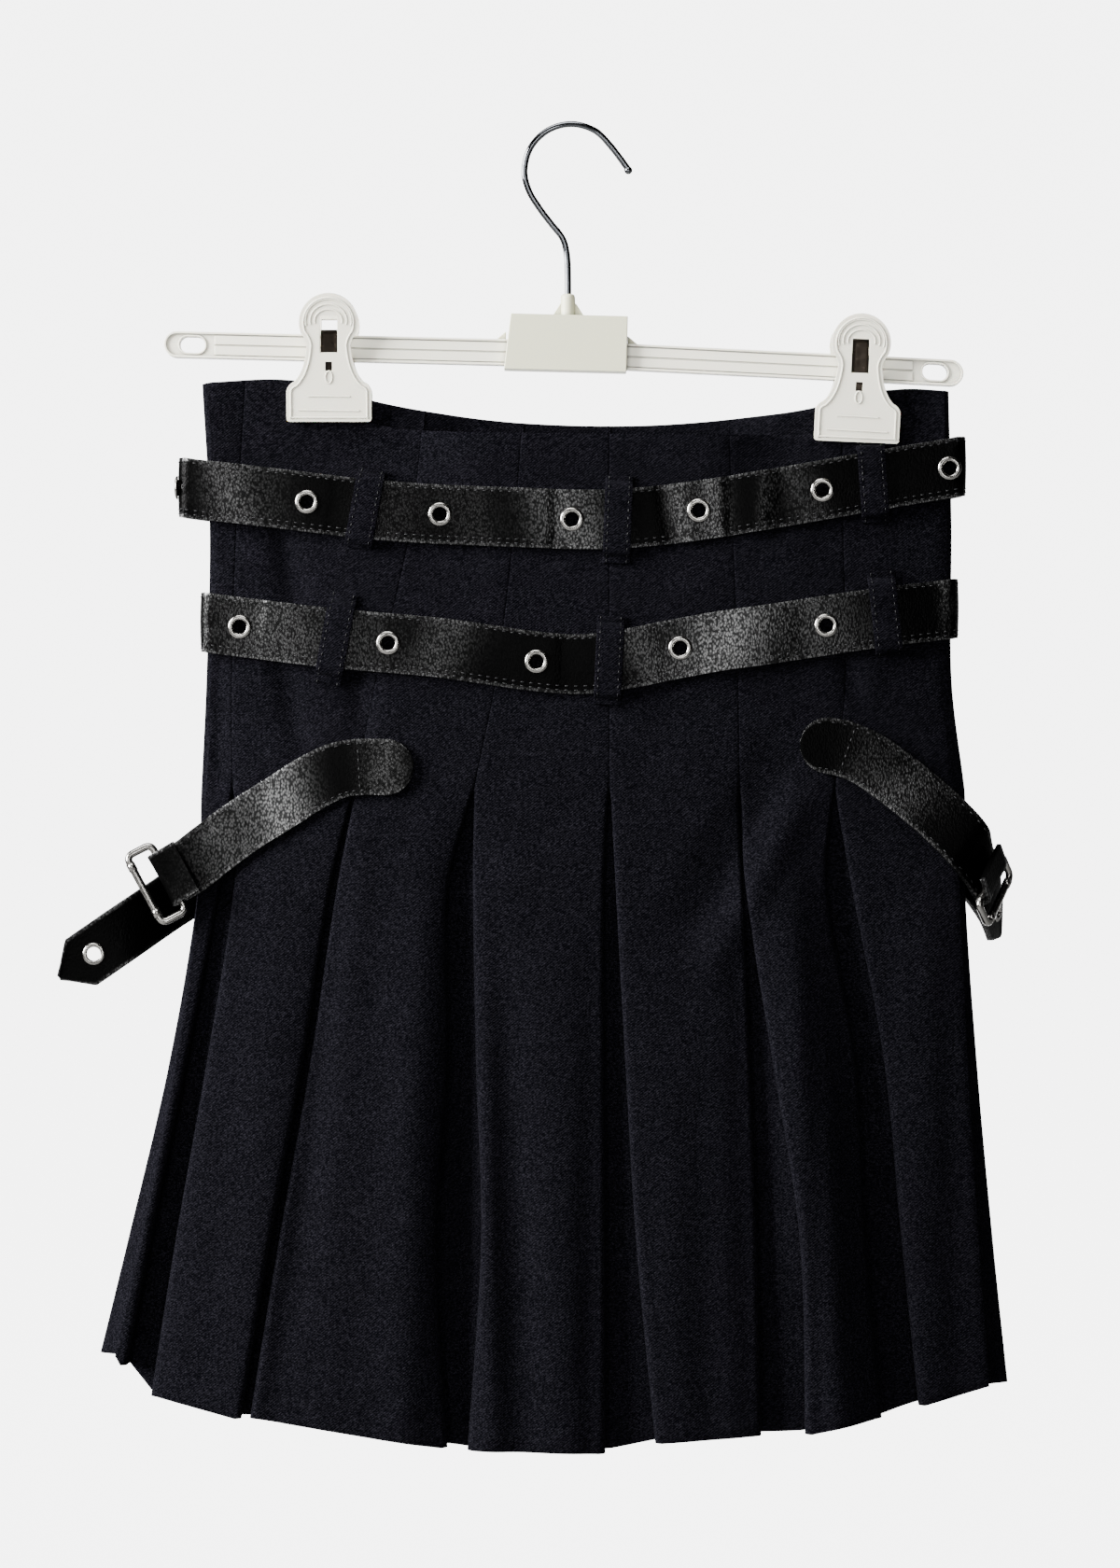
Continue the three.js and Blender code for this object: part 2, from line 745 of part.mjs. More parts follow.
// The ring's distance from y = 0 at an X between its round ends.
function beltDepth(belt, x, side) {
  const left = belt.left + BELT_THICK / 2 + belt.roundEnd;
  const right = belt.right - BELT_THICK / 2 - belt.roundEnd;
  const share = clamp(Math.abs((2 * x - left - right) / (right - left)), 0, 1);
  const z = beltZ(belt, x);
  const slack = side === BACK ? BELT_BUCKLE_SLACK : 0;
  const lowerEdge = z - BELT_WIDTH / 2;
  const cloth = column(DEPTHS, "z", "middle", lowerEdge) + CLOTH / 2;
  const middle = cloth + BELT_STANDOFF + BELT_THICK / 2 + slack;
  return belt.roundEnd + (middle - belt.roundEnd) * (1 - share ** 2.6);
}
const BELT_BUCKLE_SLACK = 7;
const FRONT_STATIONS = 16;
const ROUND_STATIONS = 5;

function ringPoint(belt, x, side, out = 0) {
  return new THREE.Vector3(x, side * (beltDepth(belt, x, side) + out), beltZ(belt, x));
}

// The belt's path: from the buckle at the back round the left side, the front and the right side,
// and over its own start to the pointed tip.
function beltPath(belt) {
  const left = belt.left + BELT_THICK / 2 + belt.roundEnd;
  const right = belt.right - BELT_THICK / 2 - belt.roundEnd;
  const heelX = BELT_BUCKLE.x - BELT_BUCKLE.bars / 2;
  const tipX = BELT_BUCKLE.x + BELT_BUCKLE.bars / 2;
  const points = [];
  const faces = [];
  const add = (point, face) => {
    points.push(point);
    faces.push(face);
  };
  const backwards = new THREE.Vector3(0, 1, 0);
  const forwards = new THREE.Vector3(0, -1, 0);
  const fold = WIRE / 2 + 0.7 + BELT_THICK / 2;
  // The folded end inside, the turn round the heel bar, and the outer layer.
  add(ringPoint(belt, heelX - 22, BACK, -fold), forwards);
  add(ringPoint(belt, heelX, BACK, -fold), forwards);
  add(ringPoint(belt, heelX + fold * 0.75, BACK, -fold * 0.66), new THREE.Vector3(0.7, -0.7, 0));
  add(ringPoint(belt, heelX + fold, BACK, 0), new THREE.Vector3(1, 0, 0));
  add(ringPoint(belt, heelX + fold * 0.75, BACK, fold * 0.66), new THREE.Vector3(0.7, 0.7, 0));
  add(ringPoint(belt, heelX, BACK, fold), backwards);
  add(ringPoint(belt, heelX - 24, BACK, fold), backwards);
  const backSteps = 6;
  for (let i = 1; i <= backSteps; i += 1) {
    const x = lerp(heelX - 46, left, i / backSteps);
    add(ringPoint(belt, x, BACK), backwards);
  }
  const turn = (x, sign, fromAngle) => {
    for (let i = 1; i < ROUND_STATIONS; i += 1) {
      const angle = fromAngle + (Math.PI * i) / ROUND_STATIONS;
      const face = new THREE.Vector3(Math.cos(angle), Math.sin(angle), 0);
      const point = new THREE.Vector3(
        x + belt.roundEnd * face.x,
        belt.roundEnd * face.y,
        beltZ(belt, x + sign * belt.roundEnd),
      );
      add(point, face);
    }
  };
  turn(left, -1, Math.PI / 2);
  for (let i = 0; i <= FRONT_STATIONS; i += 1) {
    add(ringPoint(belt, lerp(left, right, i / FRONT_STATIONS), FRONT), forwards);
  }
  turn(right, 1, -Math.PI / 2);
  for (let i = 0; i < backSteps; i += 1) {
    const x = lerp(right, tipX + 30, i / (backSteps - 1));
    add(ringPoint(belt, x, BACK), backwards);
  }
  // Under the outer bar, up through the frame, over the heel bar and on to the tip.
  const over = fold + BELT_THICK + CLEARANCE;
  add(ringPoint(belt, tipX + 8, BACK, -fold), backwards);
  add(ringPoint(belt, tipX - 2, BACK, -fold), backwards);
  add(ringPoint(belt, BELT_BUCKLE.x + 3, BACK, over * 0.35), backwards);
  add(ringPoint(belt, heelX + fold + 1, BACK, over + 0.6), backwards);
  add(ringPoint(belt, heelX - 20, BACK, over + 0.2), backwards);
  add(ringPoint(belt, heelX - 44, BACK, over), backwards);
  add(ringPoint(belt, heelX - 58, BACK, over - 1.6), backwards);
  return { points, faces };
}

function makeBelt(belt) {
  const { points, faces } = beltPath(belt);
  const halves = points.map((point, i) => (i === points.length - 1 ? 1.5 : BELT_WIDTH / 2));
  const stations = stationsAlong(points, faces, halves);
  const body = strip(stations, BELT_THICK);
  const holes = belt.eyelets.map((x) => {
    const hole = new THREE.CylinderGeometry(EYELET.barrel + CLEARANCE, EYELET.barrel + CLEARANCE, 4.4, 12);
    return hole.applyMatrix4(eyeletFrame(belt, x, 0));
  });
  const prong = prongShape(belt, WIRE / 2 + CLEARANCE + 0.1);
  place(`belt_${belt.name}`, cut(body, ...holes, prong), "leather");
}

// The outward direction and the middle of the belt's front at an X; past the round end the
// position is counted along the turn.
function beltSeat(belt, x) {
  const left = belt.left + BELT_THICK / 2 + belt.roundEnd;
  if (x >= left) {
    const step = 2;
    const a = ringPoint(belt, Math.max(x - step, left), FRONT);
    const b = ringPoint(belt, x + step, FRONT);
    const along = b.sub(a).normalize();
    const face = new THREE.Vector3(0, -1, 0).addScaledVector(along, along.y).normalize();
    return { at: ringPoint(belt, x, FRONT), along, face };
  }
  const angle = -Math.PI / 2 - (left - x) / belt.roundEnd;
  const face = new THREE.Vector3(Math.cos(angle), Math.sin(angle), 0);
  const at = new THREE.Vector3(left + belt.roundEnd * face.x, belt.roundEnd * face.y, beltZ(belt, belt.left));
  return { at, along: new THREE.Vector3(-face.y, face.x, 0), face };
}

// A frame whose Y axis is the eyelet's axis, with its origin on the belt's outer face plus lift.
function eyeletFrame(belt, x, lift) {
  const { at, along, face } = beltSeat(belt, x);
  const across = new THREE.Vector3().crossVectors(along, face);
  const matrix = new THREE.Matrix4().makeBasis(along, face, across);
  return matrix.setPosition(at.addScaledVector(face, lift));
}

// A flange on the outside and a barrel through the leather.
function eyeletShape(thick) {
  const back = -thick;
  const profile = [
    [EYELET.hole, back],
    [EYELET.barrel, back],
    [EYELET.barrel, CLEARANCE],
    [EYELET.flange, CLEARANCE],
    [EYELET.flange - 0.7, CLEARANCE + EYELET.height],
    [EYELET.hole, CLEARANCE + EYELET.height],
    [EYELET.hole, back],
  ].map(([radius, height]) => new THREE.Vector2(radius, height));
  return new THREE.LatheGeometry(profile, 12);
}

function makeEyelets(belt) {
  belt.eyelets.forEach((x, i) => {
    const shape = eyeletShape(BELT_THICK).applyMatrix4(eyeletFrame(belt, x, BELT_THICK / 2));
    place(`eyelet_${belt.name}_${i + 1}`, facingOut(mergedShape(shape)), "nickel");
  });
}

function mergedShape(geometry) {
  const bare = geometry.clone();
  bare.deleteAttribute("normal");
  bare.deleteAttribute("uv");
  return mergeVertices(bare, 1e-4);
}

// Buckles
// A wire frame: a closed tube along a rounded rectangle, bars apart along one axis and length long.
function frameShape(bars, length, corner) {
  const outline = new THREE.Shape();
  const halfX = bars / 2;
  const halfZ = length / 2;
  outline.moveTo(halfX, 0);
  outline.lineTo(halfX, halfZ - corner);
  outline.absarc(halfX - corner, halfZ - corner, corner, 0, Math.PI / 2);
  outline.absarc(corner - halfX, halfZ - corner, corner, Math.PI / 2, Math.PI);
  outline.absarc(corner - halfX, corner - halfZ, corner, Math.PI, 1.5 * Math.PI);
  outline.absarc(halfX - corner, corner - halfZ, corner, 1.5 * Math.PI, 2 * Math.PI);
  outline.lineTo(halfX, 0);
  const ring = outline.getPoints(3).slice(0, -1);
  const path = new THREE.CatmullRomCurve3(
    ring.map((p) => new THREE.Vector3(p.x, 0, p.y)),
    true,
    "centripetal",
  );
  return facingOut(mergedShape(new THREE.TubeGeometry(path, 26, WIRE / 2, 6, true)));
}

function rod(points, radius, steps) {
  const circle = new THREE.Shape();
  circle.absarc(0, 0, radius, 0, 2 * Math.PI);
  const path = new THREE.CatmullRomCurve3(points, false, "centripetal");
  return new THREE.ExtrudeGeometry(circle, { extrudePath: path, steps, curveSegments: 4, bevelEnabled: false });
}

// The prong stands on the heel bar, comes up through the belt and rests on the outer bar.
function prongShape(belt, radius) {
  const heelX = BELT_BUCKLE.x - BELT_BUCKLE.bars / 2;
  const tipX = BELT_BUCKLE.x + BELT_BUCKLE.bars / 2;
  const rest = WIRE + CLEARANCE;
  const points = [
    ringPoint(belt, heelX + WIRE + CLEARANCE, BACK, 0),
    ringPoint(belt, heelX + 6.5, BACK, 1.2),
    ringPoint(belt, BELT_BUCKLE.x, BACK, rest),
    ringPoint(belt, tipX - 2, BACK, rest),
    ringPoint(belt, tipX + 2.5, BACK, rest),
  ];
  return rod(points, radius, 10);
}

function makeBeltBuckle(belt) {
  const frame = frameShape(BELT_BUCKLE.bars, BELT_BUCKLE.length, 4);
  const left = ringPoint(belt, BELT_BUCKLE.x - BELT_BUCKLE.bars / 2, BACK);
  const right = ringPoint(belt, BELT_BUCKLE.x + BELT_BUCKLE.bars / 2, BACK);
  const along = right.clone().sub(left).normalize();
  const face = new THREE.Vector3(0, 1, 0).addScaledVector(along, -along.y).normalize();
  const across = new THREE.Vector3().crossVectors(along, face);
  const matrix = new THREE.Matrix4().makeBasis(along, face, across);
  matrix.setPosition(left.add(right).multiplyScalar(0.5));
  place(`belt_buckle_${belt.name}`, frame.applyMatrix4(matrix), "nickel");
  place(`belt_prong_${belt.name}`, facingOut(mergedShape(prongShape(belt, WIRE / 2))), "nickel");
}

// Loops
function makeLoop(loop, side) {
  const belt = BELTS[loop.belt];
  const length = loop.topZ - loop.bottomZ;
  const middle = beltZ(belt, (loop.topX + loop.bottomX) / 2);
  const overTop = middle + BELT_WIDTH / 2 + LOOP_MARGIN;
  const overBottom = middle - BELT_WIDTH / 2 - LOOP_MARGIN;
  const levels = [
    { z: loop.topZ, over: false },
    { z: lerp(loop.topZ, overTop, 0.6), over: false },
    { z: overTop, over: true },
    { z: middle, over: true },
    { z: overBottom, over: true },
    { z: lerp(loop.bottomZ, overBottom, 0.6), over: false },
    { z: loop.bottomZ, over: false },
  ];
  const points = levels.map(({ z, over }) => {
    const x = lerp(loop.topX, loop.bottomX, (loop.topZ - z) / length);
    const surface = over ? (px) => beltDepth(belt, px, side) + BELT_THICK / 2 : clothFace;
    const seat = seatOn(surface, x, z, over ? LOOP_WIDTH / 2 + 1 : 10, over ? 1 : 9);
    const lean = (loop.bottomX - loop.topX) / length;
    const across = new THREE.Vector3(1, side * seat.slopeX, lean).normalize();
    const y = side * (seat.depth + CLEARANCE + LOOP_THICK / 2);
    return { at: new THREE.Vector3(x, y, z), across };
  });
  const stations = points.map(({ at, across }, i) => {
    const before = points[Math.max(i - 1, 0)].at;
    const after = points[Math.min(i + 1, points.length - 1)].at;
    const along = after.clone().sub(before).normalize();
    const face = new THREE.Vector3().crossVectors(along, across).normalize();
    return { at, across, face, half: LOOP_WIDTH / 2 };
  });
  const where = side === FRONT ? "front" : "back";
  place(`loop_${where}_${loop.name}`, strip(stations, LOOP_THICK), "twill");
}

// Hip straps
const STRAP_LIFT = 0.3;

// A strap's point and face: on the cloth, or free where the row gives its y.
function strapSeat(strap, row) {
  if (row.y !== undefined) {
    const turn = degToRad(row.turn ?? 0);
    return {
      at: new THREE.Vector3(row.x, row.y, row.z),
      face: new THREE.Vector3(Math.sin(turn), strap.side * Math.cos(turn), 0),
    };
  }
  const seat = seatOn(clothFace, row.x, row.z, STRAP_WIDTH / 2, STRAP_WIDTH / 2);
  const y = strap.side * (seat.depth + CLEARANCE + STRAP_LIFT + STRAP_THICK / 2);
  const face = new THREE.Vector3(-seat.slopeX, strap.side, -seat.slopeZ).normalize();
  return { at: new THREE.Vector3(row.x, y, row.z), face };
}

function strapStations(strap) {
  const half = STRAP_WIDTH / 2;
  const first = strap.path[0];
  const points = [];
  const faces = [];
  const halves = [];
  const add = (row, width) => {
    const { at, face } = strapSeat(strap, row);
    points.push(at);
    faces.push(face);
    halves.push(width);
  };
  // The rounded tab that is sewn to the skirt.
  const toward = Math.sign(first.x - strap.tabEnd.x);
  for (const share of TAB_ROUNDING) {
    const x = strap.tabEnd.x + toward * half * share;
    add({ x, z: strap.tabEnd.z }, half * Math.sqrt(1 - (1 - share) ** 2));
  }
  for (const row of strap.path) add(row, half);
  return { points, faces, halves };
}

// The strap's end wraps the buckle's heel bar and is stitched down on its outside.
function heelTurn(stations) {
  const last = stations.at(-1);
  const turned = [22.5, 67.5, 112.5, 157.5].map((degrees) => {
    const angle = degToRad(degrees);
    const at = last.at.clone().addScaledVector(last.face, HEEL_RADIUS * (1 - Math.cos(angle)));
    at.addScaledVector(last.along, HEEL_RADIUS * Math.sin(angle));
    const face = last.face.clone().multiplyScalar(-Math.cos(angle)).addScaledVector(last.along, Math.sin(angle));
    return { at, across: last.across, face: face.negate(), half: last.half };
  });
  const top = last.at.clone().addScaledVector(last.face, 2 * HEEL_RADIUS);
  const back = last.face.clone().negate();
  const end = top.clone().addScaledVector(last.along, -HEEL_FOLD);
  return [
    ...stations,
    ...turned,
    { at: top, across: last.across, face: back, half: last.half },
    { at: end, across: last.across, face: back, half: last.half },
  ];
}

function heelBar(stations) {
  const last = stations.at(-1);
  return { at: last.at.clone().addScaledVector(last.face, HEEL_RADIUS), last };
}

function makeBuckledStrap(strap) {
  const { points, faces, halves } = strapStations(strap);
  const stations = stationsAlong(points, faces, halves);
  place(`strap_${strap.name}`, strip(heelTurn(stations), STRAP_THICK), "leather");
  return heelBar(stations);
}

// The frame stands up from the strap by a small angle.
function makeHipBuckle(name, heel, lift) {
  const { at, last } = heel;
  const along = last.along.clone().applyAxisAngle(last.across, degToRad(lift));
  const face = new THREE.Vector3().crossVectors(last.across, along).normalize();
  const matrix = new THREE.Matrix4().makeBasis(along, face.negate(), last.across.clone().negate());
  const frame = frameShape(HIP_BUCKLE.bars, HIP_BUCKLE.length, HIP_BUCKLE.corner);
  matrix.setPosition(at.clone().addScaledVector(along, HIP_BUCKLE.bars / 2));
  place(`hip_buckle_${name}`, facingOut(frame.applyMatrix4(matrix)), "nickel");
}

// A strap that ends in a point with one eyelet.
function makePointedStrap(strap) {
  const { points, faces, halves } = strapStations(strap);
  const last = points.at(-1);
  const along = last.clone().sub(points.at(-2)).normalize();
  points.push(last.clone().addScaledVector(along, strap.point));
  faces.push(faces.at(-1));
  halves.push(1);
  const stations = stationsAlong(points, faces, halves);
  const body = strip(stations, STRAP_THICK);
  const { x, y, z } = strap.eyeletAt;
  const seat = stations.at(-2);
  const matrix = new THREE.Matrix4().makeBasis(seat.along, seat.face, seat.across.clone());
  const centre = new THREE.Vector3(x, y, z);
  const offFace = centre.clone().sub(seat.at).dot(seat.face);
  centre.addScaledVector(seat.face, -offFace);
  const hole = new THREE.CylinderGeometry(EYELET.barrel + CLEARANCE, EYELET.barrel + CLEARANCE, 6, 12);
  hole.applyMatrix4(matrix.clone().setPosition(centre));
  place(`strap_${strap.name}`, cut(body, hole), "leather");
  const shape = eyeletShape(STRAP_THICK);
  shape.applyMatrix4(matrix.clone().setPosition(centre.addScaledVector(seat.face, STRAP_THICK / 2)));
  place(`eyelet_${strap.name}`, facingOut(mergedShape(shape)), "nickel");
}

function makeStraps() {
  const [frontLeft, frontRight, backLeft, backRight] = STRAPS;
  makeHipBuckle("left", makeBuckledStrap(frontLeft), 20);
  makeHipBuckle("right", makeBuckledStrap(frontRight), 4);
  makePointedStrap(backLeft);
  makePointedStrap(backRight);
}

// Hanger
function box(left, right, front, back, bottom, top) {
  const shape = new THREE.BoxGeometry(right - left, back - front, top - bottom);
  return shape.translate((left + right) / 2, (front + back) / 2, (bottom + top) / 2);
}

function barZ(x) {
  const middleX = (BAR.leftX + BAR.rightX) / 2;
  return x < middleX
    ? lerp(BAR.leftZ, BAR.middleZ, (x - BAR.leftX) / (middleX - BAR.leftX))
    : lerp(BAR.middleZ, BAR.rightZ, (x - middleX) / (BAR.rightX - middleX));
}

// An outline drawn in X and Z, pushed through from y = -depth / 2 to y = depth / 2.
function plate(outline, depth, curveSegments = 6) {
  const shape = new THREE.ExtrudeGeometry(outline, { depth, curveSegments, bevelEnabled: false });
  shape.rotateX(Math.PI / 2);
  return shape.translate(0, depth / 2, 0);
}

function roundedSlot(fromX, toX, height) {
  const radius = height / 2;
  const outline = new THREE.Shape();
  const middle = (fromX + toX) / 2;
  outline.moveTo(middle, -radius);
  outline.lineTo(toX - radius, -radius);
  outline.absarc(toX - radius, 0, radius, -Math.PI / 2, Math.PI / 2);
  outline.lineTo(middle, radius);
  outline.lineTo(fromX + radius, radius);
  outline.absarc(fromX + radius, 0, radius, Math.PI / 2, 1.5 * Math.PI);
  outline.lineTo(middle, -radius);
  return outline;
}

// The outline shifted up and down to follow the bar's line.
function alongBar(outline) {
  return new THREE.Shape(outline.getPoints(6).map(({ x, y }) => new THREE.Vector2(x, y + barZ(x))));
}

function makeBar() {
  const eyeAt = (end, sign) => {
    const near = end + sign * BAR_EYE.inset;
    const far = near + sign * BAR_EYE.length;
    const eye = roundedSlot(Math.min(near, far), Math.max(near, far), BAR_EYE.height);
    return plate(alongBar(eye), 2 * BAR.depth);
  };
  const eyes = [eyeAt(BAR.leftX, 1), eyeAt(BAR.rightX, -1)];
  const bar = plate(alongBar(roundedSlot(BAR.leftX, BAR.rightX, BAR.height)), BAR.depth);
  place("hanger_bar", cut(bar, ...eyes), "plastic");
}

function makeBlock() {
  const middleX = (BLOCK.left + BLOCK.right) / 2;
  const middleZ = (BLOCK.top + BLOCK.bottom) / 2;
  const body = box(BLOCK.left, BLOCK.right, -BLOCK.depth / 2, BLOCK.depth / 2, BLOCK.bottom, BLOCK.top);
  body.translate(-middleX, 0, -middleZ).rotateY(degToRad(-BLOCK.tilt)).translate(middleX, 0, middleZ);
  const collarHeight = COLLAR.top - BLOCK.top + 3;
  const collar = new THREE.CylinderGeometry(COLLAR.radius, COLLAR.radius + 0.6, collarHeight, 16);
  collar.rotateX(Math.PI / 2).translate(HOOK.stemX, 0, COLLAR.top - collarHeight / 2);
  const bore = new THREE.CylinderGeometry(HOOK.wire / 2 + CLEARANCE, HOOK.wire / 2 + CLEARANCE, 30, 12);
  bore.rotateX(Math.PI / 2).translate(HOOK.stemX, 0, COLLAR.top - 10);
  const halfDepth = BAR.depth / 2 + CLEARANCE;
  const halfHeight = BAR.height / 2 + CLEARANCE + 0.5;
  const channel = box(BLOCK.left - 9, BLOCK.right + 9, -halfDepth, halfDepth, -halfHeight, halfHeight);
  channel.rotateY(degToRad(BAR_SLOPE)).translate(0, 0, barZ(0));
  place("hanger_block", cut(join(body, collar), bore, channel), "block");
}

function makeHook() {
  const centreZ = -(HOOK.bend - HOOK.wire / 2);
  const points = [new THREE.Vector3(HOOK.tipX, 0, HOOK.tipZ + 0.5)];
  for (const degrees of [32, 60, 90, 120, 150, 180, 205]) {
    const angle = degToRad(degrees);
    points.push(new THREE.Vector3(HOOK.bend * Math.cos(angle), 0, centreZ + HOOK.bend * Math.sin(angle)));
  }
  points.push(new THREE.Vector3(-15, 0, -38.6));
  points.push(new THREE.Vector3(-9.4, 0, -46));
  points.push(new THREE.Vector3(-4, 0, -53));
  points.push(new THREE.Vector3(HOOK.stemX - 0.6, 0, -60));
  points.push(new THREE.Vector3(HOOK.stemX, 0, -70));
  points.push(new THREE.Vector3(HOOK.stemX, 0, HOOK.stemBottom));
  const shape = rod(points, HOOK.wire / 2, 36);
  const tip = new THREE.SphereGeometry(HOOK.wire / 2 + 0.35, 8, 6);
  tip.translate(HOOK.tipX, 0, HOOK.tipZ);
  place("hook", join(shape, tip), "chrome");
}

// One half of a clip, drawn round the bar's middle: head, neck and jaw with a window and a slot.
function leverOutline() {
  const outline = new THREE.Shape();
  const headZ = LEVER.top - LEVER.headRadius;
  outline.moveTo(-LEVER.jaw, LEVER.bottom);
  outline.lineTo(LEVER.jaw, LEVER.bottom);
  outline.lineTo(LEVER.jaw, LEVER.jawTop - 1);
  outline.quadraticCurveTo(LEVER.jaw, LEVER.jawTop + 2.5, LEVER.jaw - 3.5, LEVER.jawTop + 4);
  outline.quadraticCurveTo(LEVER.neck + 1, LEVER.jawTop + 9, LEVER.neck, LEVER.neckZ);
  outline.absarc(0, headZ, LEVER.headRadius, -0.35, Math.PI + 0.35);
  outline.lineTo(-LEVER.neck, LEVER.neckZ);
  outline.quadraticCurveTo(-LEVER.neck - 1, LEVER.jawTop + 9, 3.5 - LEVER.jaw, LEVER.jawTop + 4);
  outline.quadraticCurveTo(-LEVER.jaw, LEVER.jawTop + 2.5, -LEVER.jaw, LEVER.jawTop - 1);
  outline.lineTo(-LEVER.jaw, LEVER.bottom);
  for (const hole of [WINDOW, SLOT]) {
    const opening = new THREE.Path();
    opening.moveTo(-hole.halfWidth, hole.bottom);
    opening.lineTo(-hole.halfWidth, hole.top);
    opening.lineTo(hole.halfWidth, hole.top);
    opening.lineTo(hole.halfWidth, hole.bottom);
    opening.lineTo(-hole.halfWidth, hole.bottom);
    outline.holes.push(opening);
  }
  return outline;
}

function makeClip(clip) {
  const middleZ = barZ(clip.x);
  const seat = (shape) => shape.rotateY(degToRad(-clip.tilt)).translate(clip.x, 0, middleZ);
  for (const side of [FRONT, BACK]) {
    const lever = plate(leverOutline(), LEVER.thick, 4);
    lever.translate(0, side * (LEVER.thick / 2), -LEVER.bottom);
    lever.rotateX(degToRad(-side * LEVER.slope)).translate(0, side * LEVER.grip, LEVER.bottom);
    const where = side === FRONT ? "front" : "back";
    place(`clip_${clip.name}_${where}`, facingOut(mergedShape(seat(lever))), "plastic");
  }
  const path = [
    [-SPRING.halfDepth, SPRING.bottom],
    [-SPRING.halfDepth, clip.springTop - SPRING.shoulder],
    [-SPRING.halfDepth + SPRING.shoulder, clip.springTop],
    [SPRING.halfDepth - SPRING.shoulder, clip.springTop],
    [SPRING.halfDepth, clip.springTop - SPRING.shoulder],
    [SPRING.halfDepth, SPRING.bottom],
  ].map(([y, z]) => new THREE.Vector3(0, y, z));
  const across = new THREE.Vector3(1, 0, 0);
  const stations = path.map((at, i) => {
    const before = path[Math.max(i - 1, 0)];
    const after = path[Math.min(i + 1, path.length - 1)];
    const along = after.clone().sub(before).normalize();
    return { at, across, face: new THREE.Vector3().crossVectors(along, across), half: SPRING.width / 2 };
  });
  place(`clip_${clip.name}_spring`, seat(strip(stations, SPRING.thick)), "spring");
}

makeGores();
BELTS.forEach((belt) => {
  makeBelt(belt);
  makeEyelets(belt);
  makeBeltBuckle(belt);
});
LOOPS.forEach((loop) => {
  makeLoop(loop, FRONT);
  if (!loop.name.endsWith("centre")) makeLoop(loop, BACK);
});
makeStraps();
makeHook();
makeBar();
makeBlock();
CLIPS.forEach(makeClip);

export default skirt;
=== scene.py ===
"""The looks of a pleated mini skirt with eyelet belts and buckled hip straps, on a clip hanger.

Tables and functions are in millimetres; a mesh is turned to metres when it is finished.
The skirt hangs from the origin, with +Z up and its front towards -Y.
"""

import math
from collections import namedtuple

import bmesh
import bpy
from bpy.props import FloatProperty, PointerProperty, StringProperty
from mathutils import Matrix, Vector, noise


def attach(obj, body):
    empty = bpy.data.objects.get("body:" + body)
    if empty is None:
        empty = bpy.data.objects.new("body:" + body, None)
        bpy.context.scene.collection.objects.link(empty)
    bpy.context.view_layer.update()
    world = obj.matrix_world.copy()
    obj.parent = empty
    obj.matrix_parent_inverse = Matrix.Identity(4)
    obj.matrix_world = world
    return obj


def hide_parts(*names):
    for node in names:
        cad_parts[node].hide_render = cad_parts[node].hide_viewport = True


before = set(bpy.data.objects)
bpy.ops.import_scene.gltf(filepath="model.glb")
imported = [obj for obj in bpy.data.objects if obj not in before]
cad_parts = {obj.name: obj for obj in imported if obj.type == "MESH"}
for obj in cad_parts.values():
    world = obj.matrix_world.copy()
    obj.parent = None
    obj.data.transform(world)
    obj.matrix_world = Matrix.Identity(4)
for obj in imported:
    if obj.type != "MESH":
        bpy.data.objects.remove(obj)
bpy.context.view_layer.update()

bl_info = {
    "name": "Pleated belted skirt",
    "version": (1, 0, 0),
    "blender": (4, 5, 0),
    "location": "View3D > Sidebar > Skirt",
    "description": "Builds the looks of a pleated belted skirt on a clip hanger",
    "category": "Object",
}

MM = 0.001
FRONT = -1
BACK = 1

CLOTH = 1.5
SEAM_GAP = -0.1
BELT_THICK = 2.4
BELT_WIDTH = 28
STRAP_THICK = 2.2
STRAP_WIDTH = 26.5
LOOP_THICK = 1.6
LOOP_WIDTH = 13
LOOP_MARGIN = 1.5
WIRE = 2.6
CLEARANCE = 0.3

PLEAT_TOP = -317
SEAM_LEVELS = (-122, -190, -262, -317)
FOLD_LEVELS = (-317, -362, -444, -528, -628)

# Each pleat from left to right: its seam's X at the seam levels, then its two fold edges' X
# at the fold levels.
Pleat = namedtuple("Pleat", "seam left right")
PLEATS = (
    Pleat(
        (-155, -159, -161, -160.5),
        (-161.1, -167, -182, -198.5, -217.5), (-159.9, -160, -172.5, -187, -202.5),
    ),
    Pleat(
        (-69, -76, -92, -103),
        (-103.6, -114, -126.5, -141.5, -158), (-102.4, -111, -123.5, -138, -154),
    ),
    Pleat((-22, -27, -35.5, -46.5), (-47.1, -58.5, -58.5, -63.5, -58), (-45.9, -46.5, -45, -42.5, -49)),
    Pleat((18, 18, 18, 18), (17.4, 15.5, 15.5, 16, 16), (18.6, 21, 25.5, 30.5, 40)),
    Pleat((74, 76.5, 79, 79.5), (78.9, 81, 84.5, 87.5, 89.5), (80.1, 82.5, 95, 107.5, 110)),
    Pleat((129, 129, 130, 124.5), (123.9, 121, 134.5, 139, 148), (125.1, 133, 148, 156, 166)),
)

# The outermost X of each side and the X of the pressed ridge in front of it.
SIDES = {
    "left": {
        "edge": (-175.5, -172, -173.5, -176),
        "edge_flare": (-176, -177.5, -191, -210.5, -235),
        "ridge": (-170, -168, -170, -173),
        "ridge_flare": (-173, -176, -186.5, -202.5, -225.5),
    },
    "right": {
        "edge": (179.5, 181, 181, 187.5),
        "edge_flare": (187.5, 187.5, 193, 200.5, 211),
        "ridge": (173, 175, 175, 181),
        "ridge_flare": (181, 183.5, 187, 192, 199),
    },
}

